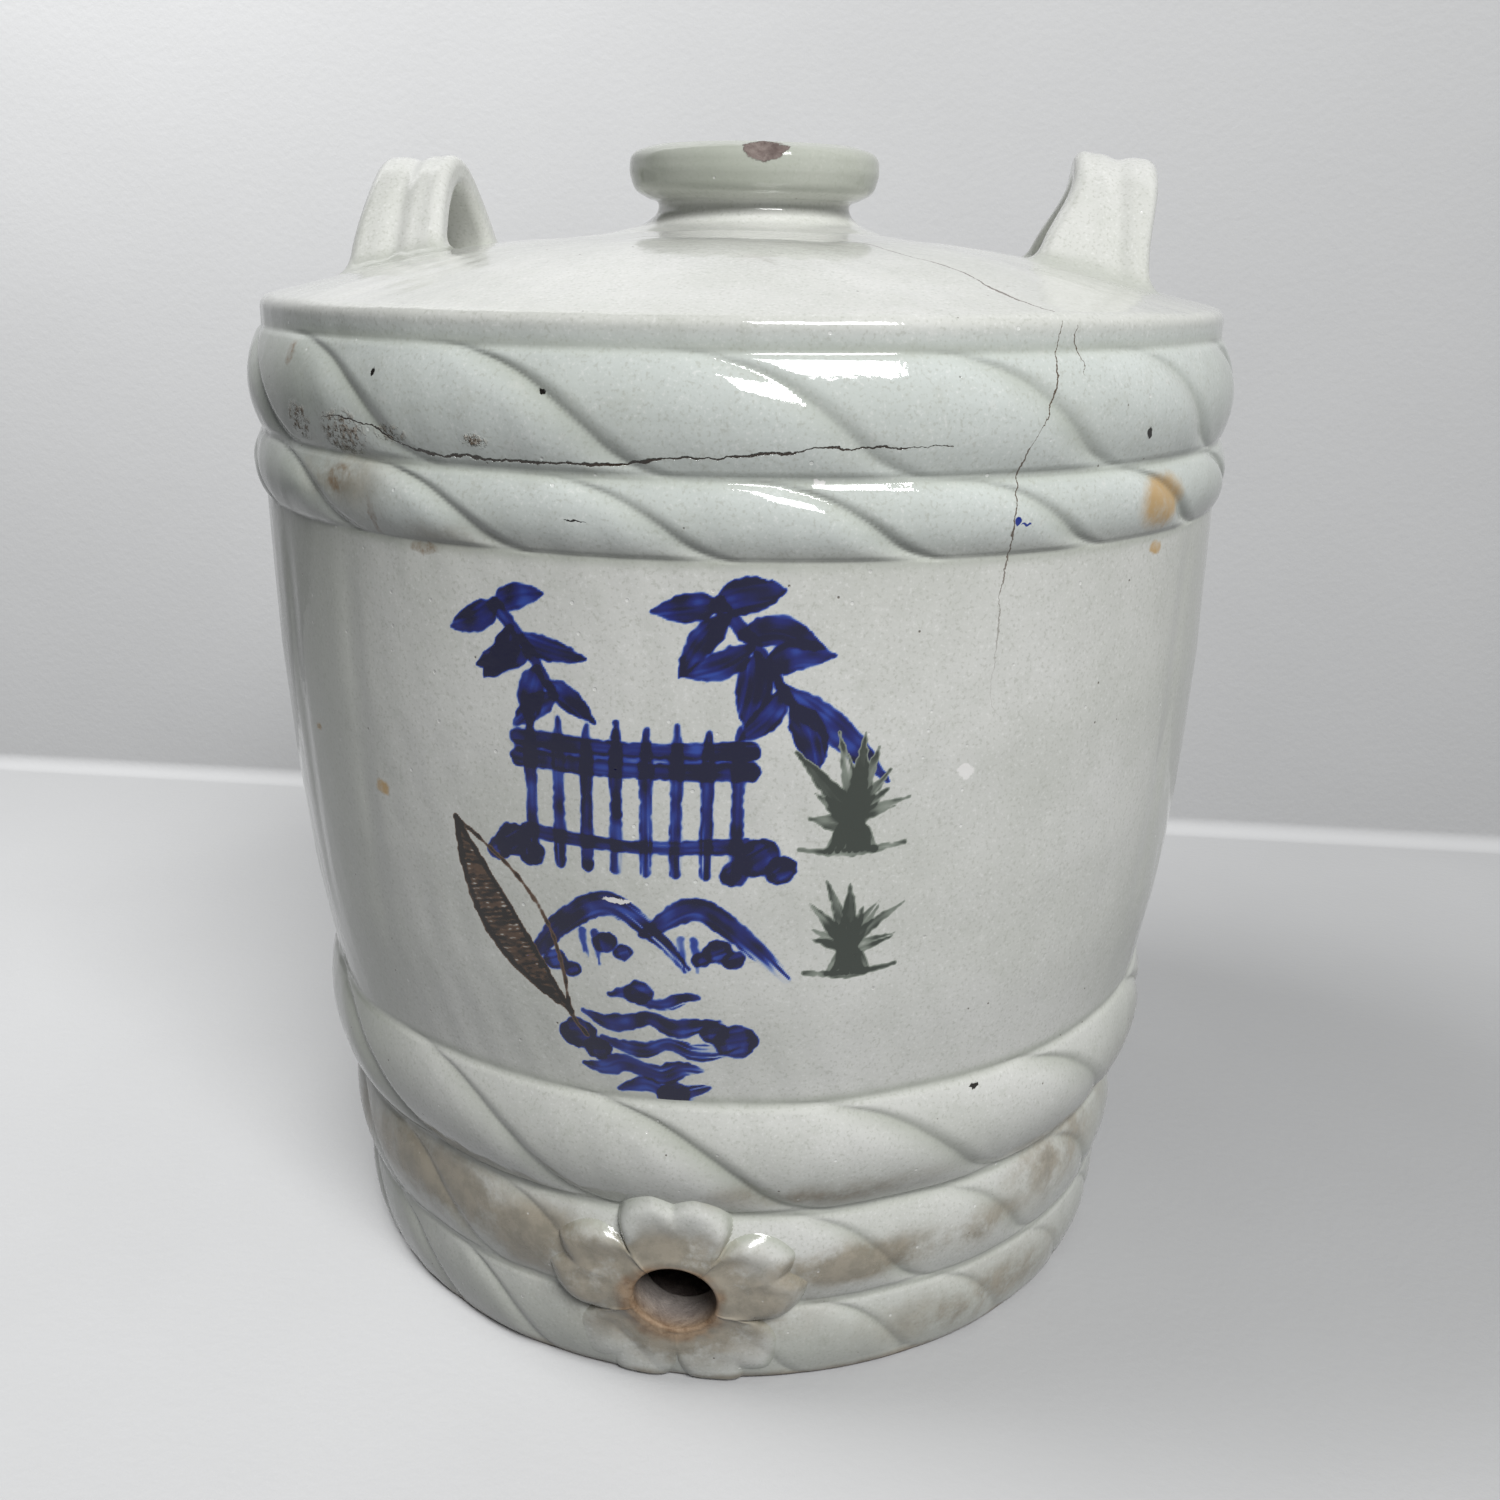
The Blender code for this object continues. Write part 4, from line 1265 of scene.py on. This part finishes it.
def make_boss():
    """Five petals round the tap hole, one closed solid: bore, front, lining behind it and plug in the wall."""
    theta = np.arange(TURNS_ROUND) / TURNS_ROUND * TURN
    below = np.where(np.sin(theta) < -0.05, (HOLE_HEIGHT - 1.0) / np.maximum(-np.sin(theta), 0.05), 99)
    rim = np.minimum(BOSS_REACH, below)
    shares = np.linspace(0, 1, 90) ** 1.1
    rho = HOLE_RADIUS + shares[:, None] * (rim[None, :] - HOLE_RADIUS)
    grid = theta[None, :] + 0 * rho
    across, up = rho * np.cos(grid), rho * np.sin(grid)
    z = HOLE_HEIGHT + up
    base = radius_at_height(z)
    phi = across / HOLE_WALL_RADIUS
    around = skin(phi, run_at_height(z))
    rope_radius = np.hypot(around[..., 0], around[..., 1])
    uneven = 0.5 * (value_noise(across / 7 + 30, up / 7 + 30, 41) - 0.5)
    uneven += 0.8 * (value_noise(across / 15 + 30, up / 15 + 30, 42) - 0.5)
    boss_radius = base + boss_height(rho, grid) + uneven * smooth(11, 16, rho)
    radius = smooth_max(boss_radius, rope_radius, 2.2)
    radius -= 0.15 * smooth(1.5, -1.5, boss_radius - rope_radius)
    front = turned(radius, phi, z)
    deep = -(base[0].mean() - WALL_THICKNESS - 4.5)

    def tube(ring, steps):
        """Rings from a ring straight back to the inside of the wall."""
        tubes = np.repeat(ring[None], steps, axis=0)
        s = np.linspace(0, 1, steps)[:, None]
        tubes[..., 1] = ring[:, 1] * (1 - s) + deep * s
        return tubes

    bore = tube(front[0], 26)[1:][::-1]
    bore[..., 0] *= 1 + 0.015 * value_noise(bore[..., 1] / 2, bore[..., 2] / 3, 43)
    lining = front[-1:PLUG_ROW:-6].copy()
    lining[..., :2] *= (1 - 2.4 / radius[-1:PLUG_ROW:-6])[..., None]
    plug_ring = front[PLUG_ROW].copy()
    plug_ring[:, :2] *= (1 - 3.2 / radius[PLUG_ROW])[:, None]
    rows = np.concatenate([bore, front, lining, plug_ring[None], tube(plug_ring, 3)[1:]])
    points = rows.reshape(-1, 3)
    faces = [grid_faces(len(rows), len(theta), True)[:, ::-1]]

    wear = np.zeros(rows.shape[:2] + (4,))
    wear[..., 2] = 1
    start = len(bore)
    patch = slice(start, start + len(front))
    rough_rim = value_noise(across / 3 + 20, up / 3 + 20, 44)
    outline, off = blossom(grid)
    creased = hump(outline - rho, 2.0) + 0.8 * hump(from_gap(off, rho), 2.0)
    wear[patch, :, 0] = np.maximum(1.25 * stains(phi, z), 1.35 * hump(rho - 10, 12.0))
    wear[patch, :, 1] = smooth(14.5, 11.2, rho + 2.6 * (rough_rim - 0.5) + 1.6 * np.sin(grid + 0.6))
    wear[patch, :, 2] = 0.75 * smooth(11.6, 10.5, rho + 0.8 * (rough_rim - 0.5))
    wear[patch, :, 3] = np.clip(creased, 0, 1) * smooth(14, 20, rho)
    wear[:start, :, 2] = 0.8
    wear[:start, :, 1] = np.linspace(0, 1, start)[:, None] ** 3
    colours = blank(len(points))
    colours["wear"] = wear.reshape(-1, 4)
    chart = np.zeros_like(rows)
    chart[patch, :, 0] = phi * CHART_RADIUS
    chart[patch, :, 1] = run_at_height(z)
    glaze = make_glaze("celadon_boss", brown_rim=True)
    make_piece("spigot_boss", points, faces, np.zeros_like(points), glaze, colours, chart.reshape(-1, 3))


# ---------------------------------------------------------------- the handles


def net(field, low, high, step):
    """Points and faces of the surface where field is zero, negative inside, by surface nets."""
    axes = [np.arange(a, b + step, step) for a, b in zip(low, high)]
    shape = tuple(len(a) for a in axes)
    x, y, z = np.meshgrid(*axes, indexing="ij")
    value = field(np.stack([x, y, z], -1).reshape(-1, 3)).reshape(shape)
    cell = tuple(n - 1 for n in shape)
    total, count = np.zeros(cell + (3,)), np.zeros(cell)
    corners = [(i, j, k) for i in (0, 1) for j in (0, 1) for k in (0, 1)]
    for a in corners:
        for b in corners:
            if sum(np.subtract(b, a)) != 1 or min(np.subtract(b, a)) < 0:
                continue
            va = value[a[0] : a[0] + cell[0], a[1] : a[1] + cell[1], a[2] : a[2] + cell[2]]
            vb = value[b[0] : b[0] + cell[0], b[1] : b[1] + cell[1], b[2] : b[2] + cell[2]]
            cross = (va < 0) != (vb < 0)
            share = np.where(cross, va / np.where(cross, va - vb, 1), 0)
            for k in range(3):
                total[..., k] += np.where(cross, a[k] + (b[k] - a[k]) * share, 0)
            count += cross
    active = count > 0
    number = np.full(cell, -1)
    number[active] = np.arange(active.sum())
    where = np.argwhere(active)
    points = np.array(low) + (where + total[active] / count[active][:, None]) * step
    faces = []
    for axis in range(3):
        b, c = [a for a in range(3) if a != axis]
        first = np.take(value, range(shape[axis] - 1), axis) < 0
        second = np.take(value, range(1, shape[axis]), axis) < 0
        for flips, flag in ((first & ~second, False), (~first & second, True)):
            at = np.argwhere(flips)
            for side in (b, c):
                at = at[(at[:, side] > 0) & (at[:, side] < shape[side] - 1)]
            ring = []
            for db, dc in ((-1, -1), (0, -1), (0, 0), (-1, 0)):
                spot = at.copy()
                spot[:, b] += db
                spot[:, c] += dc
                ring.append(number[spot[:, 0], spot[:, 1], spot[:, 2]])
            ring = np.stack(ring, 1)
            faces.append(ring if flag == (axis == 1) else ring[:, ::-1])
    return points, np.concatenate(faces)


def gradient(field, points, small=0.05):
    """The direction and rate in which a field grows."""
    out = np.zeros_like(points)
    for k in range(3):
        step = np.zeros(3)
        step[k] = small
        out[:, k] = (field(points + step) - field(points - step)) / (2 * small)
    return out


STRAP_HALF_WIDTH, STRAP_HALF_THICK, STRAP_CORNER = 10.6, 4.2, 3.2
ARCH_FALL, ARCH_POWER, ARCH_REACH = 0.067, 1.8, 34.0
FILLET = 5.0
NET_STEP = 0.85
DOME_STEEPNESS = 0.985  # turns a height over the dome into a distance from it


def make_handle(node, middle, shift, flare, spread, tilt):
    """A strap arching along Y over the shoulder; flare and spread widen its inner and outer edge below."""
    side = np.sign(middle)
    crest = box_mm(node)[1][2]
    sample = np.linspace(-ARCH_REACH, ARCH_REACH, 90)
    fall = ARCH_FALL * np.abs(sample) ** ARCH_POWER
    arch = np.stack([sample, crest - STRAP_HALF_THICK - fall], 1)
    heading = unit(np.gradient(arch, axis=0))
    upward = np.stack([-heading[:, 1], heading[:, 0]], 1)

    def strap(points):
        """Distance outside the grooved strap."""
        flat = np.stack([points[:, 1] - shift, points[:, 2]], 1)
        best, out = np.full(len(flat), 1e9), np.zeros(len(flat))
        for at, up in zip(arch, upward):
            away = flat - at
            apart = (away**2).sum(1)
            closer = apart < best
            best[closer] = apart[closer]
            out[closer] = (away @ up)[closer]
        twist = 0.35 * np.sin(points[:, 1] / 11.0 + side)
        width = points[:, 0] - middle - twist
        out = out + tilt * width * side
        groove = 1.05 * hump(width - 0.4 * side, 2.6) + 0.22 * hump(width + 5.4 * side, 1.8)
        groove *= smooth(0, 3, out)
        widening = np.where(width * side < 0, flare, spread) * smooth(crest - 5, crest - 26, points[:, 2])
        dx = np.abs(width) - (STRAP_HALF_WIDTH - STRAP_CORNER + widening)
        dz = np.abs(out + groove) - (STRAP_HALF_THICK - STRAP_CORNER)
        outside = np.hypot(np.maximum(dx, 0), np.maximum(dz, 0))
        return outside + np.minimum(np.maximum(dx, dz), 0) - STRAP_CORNER

    def dome(points):
        """Distance over the dome."""
        phi = np.arctan2(points[:, 0], -points[:, 1])
        radius = np.hypot(points[:, 0], points[:, 1])
        return (points[:, 2] - skin(phi, run_at_radius(radius))[:, 2]) * DOME_STEEPNESS

    def field(points):
        """Strap and dome blended by a fillet, cut off a little under the dome and beyond the fillet."""
        near, ground = strap(points), dome(points)
        share = np.clip(0.5 + 0.5 * (ground + 0.12 - near) / FILLET, 0, 1)
        blend = (ground + 0.12) * (1 - share) + near * share - FILLET * share * (1 - share)
        return np.maximum(np.maximum(blend, -ground - 1.8), near - FILLET - 0.3)

    low = (middle - 27, shift - 46, SHOULDER_TOP - 3)
    high = (middle + 27, shift + 46, crest + 2)
    points, faces = net(field, low, high, NET_STEP)
    for _ in range(3):
        slope_at = gradient(field, points)
        size = np.maximum((slope_at**2).sum(1), 0.25)
        points = points - slope_at * (field(points) / size)[:, None] * 0.9
    shade = unit(gradient(field, points))
    colours = blank(len(points))
    edge = smooth(4.5, 0.5, np.abs(strap(points) - 2.0))
    colours["wear"][:, 3] = 0.75 * edge * smooth(5, 1, dome(points))
    colours["wear"][dome(points) < -0.6, 2] = 1
    chart = np.zeros_like(points)
    chart[:, 0] = -300.0  # clear of the flaws and cracks
    make_piece(node, points, [faces], shade, handle_glaze, colours, chart)


# ---------------------------------------------------------------- build

make_wall()
for rope in ropes:
    make_rope(rope, foot_seat if rope is foot else rope.bottom)
make_shoulder()
make_neck()
make_floor()
make_boss()
handle_glaze = make_glaze("celadon_handles")
make_handle("handle_left", -88.5, 3.0, 1.5, 2.0, 0.05)
make_handle("handle_right", 95.0, 0.0, 8.0, -2.2, 0.12)


# ---------------------------------------------------------------- stage, light and camera


def make_stage():
    """A pale floor that turns up into a pale wall behind the jar."""
    wall_y, cove, depth, width, high = 0.31, 0.008, -1.6, 2.2, 1.6
    line = [(depth, 0.0), (wall_y - cove, 0.0)]
    for s in np.linspace(0, np.pi / 2, 12)[1:]:
        line.append((wall_y - cove + cove * np.sin(s), cove - cove * np.cos(s)))
    line.append((wall_y, high))
    points = [(x, y, z) for y, z in line for x in (-width, width)]
    faces = [(2 * i, 2 * i + 1, 2 * i + 3, 2 * i + 2) for i in range(len(line) - 1)]
    mesh = bpy.data.meshes.new("studio_sweep")
    mesh.from_pydata(points, [], faces)
    mesh.polygons.foreach_set("use_smooth", [True] * len(faces))
    sweep = bpy.data.objects.new("studio_sweep", mesh)
    bpy.context.scene.collection.objects.link(sweep)
    mesh.materials.append(make_stage_paint("studio_paint", (0.455, 0.458, 0.462), 0.05))
    sweep.visible_diffuse = False  # the pale floor and wall don't fill the jar's shaded side
    sweep.visible_shadow = False  # the lamp behind the wall reaches the jar's back
    return sweep


def add_light(name, azimuth, elevation, distance, size, watts, aim=(0, 0, 0.16), on_stage=None):
    """A soft rectangular lamp. Its azimuth turns from the jar's front to its right. On_stage says whether it
    lights only the stage, everything but the stage, or, when None, both."""
    lamp = bpy.data.lights.new(name, "AREA")
    lamp.shape, lamp.energy = "RECTANGLE", watts
    lamp.size, lamp.size_y = size
    a, e = np.radians(azimuth), np.radians(elevation)
    back = Vector((np.sin(a) * np.cos(e), -np.cos(a) * np.cos(e), np.sin(e)))
    light = bpy.data.objects.new(name, lamp)
    light.location = Vector(aim) + back * distance
    light.rotation_euler = back.to_track_quat("Z", "Y").to_euler()
    bpy.context.scene.collection.objects.link(light)
    if on_stage is not None:
        lit = bpy.data.collections.new(name + "_lights")
        lit.objects.link(backdrop)
        lit.collection_objects[0].light_linking.link_state = "INCLUDE" if on_stage else "EXCLUDE"
        light.light_linking.receiver_collection = lit


def add_camera():
    """Nine tenths of a jar's height above the floor, close in front of the jar and a little to its right."""
    height = JAR_TOP * MM
    turn, heading, tilt, roll = np.radians(7.07), np.radians(6.62), np.radians(18.20), np.radians(0.87)
    away = 1.4115 * height
    camera = bpy.data.objects.new("camera", bpy.data.cameras.new("camera"))
    camera.data.lens = camera.data.sensor_width = 36
    camera.data.clip_start, camera.data.clip_end = 0.01, 20
    camera.location = (away * np.sin(turn), -away * np.cos(turn), 0.9098 * height)
    forward = Vector((-np.sin(heading) * np.cos(tilt), np.cos(heading) * np.cos(tilt), -np.sin(tilt)))
    right = Vector((np.cos(heading), np.sin(heading), 0))
    up = right.cross(forward)
    right, up = right * np.cos(roll) + up * np.sin(roll), up * np.cos(roll) - right * np.sin(roll)
    camera.rotation_euler = Matrix((right, up, -forward)).transposed().to_euler()
    bpy.context.scene.collection.objects.link(camera)
    bpy.context.scene.camera = camera


def light_world(strength):
    """A faint, even, slightly cool light from all round."""
    world = bpy.data.worlds.new("studio_world")
    world.use_nodes = True
    background = world.node_tree.nodes["Background"]
    background.inputs["Color"].default_value = (0.93, 0.96, 1.0, 1)
    background.inputs["Strength"].default_value = strength
    bpy.context.scene.world = world


backdrop = make_stage()
add_light("key_softbox", 28, 45, 2.8, (1.25, 0.95), 88)
add_light("wall_wash", -20, 52, 0.7, (0.5, 0.4), 9.5, aim=(-0.35, 0.31, 0.40), on_stage=True)
add_light("back_window", 192, 28, 2.4, (1.4, 1.2), 42, on_stage=False)
light_world(0.10)
add_camera()
bpy.context.scene.view_settings.view_transform = "Standard"
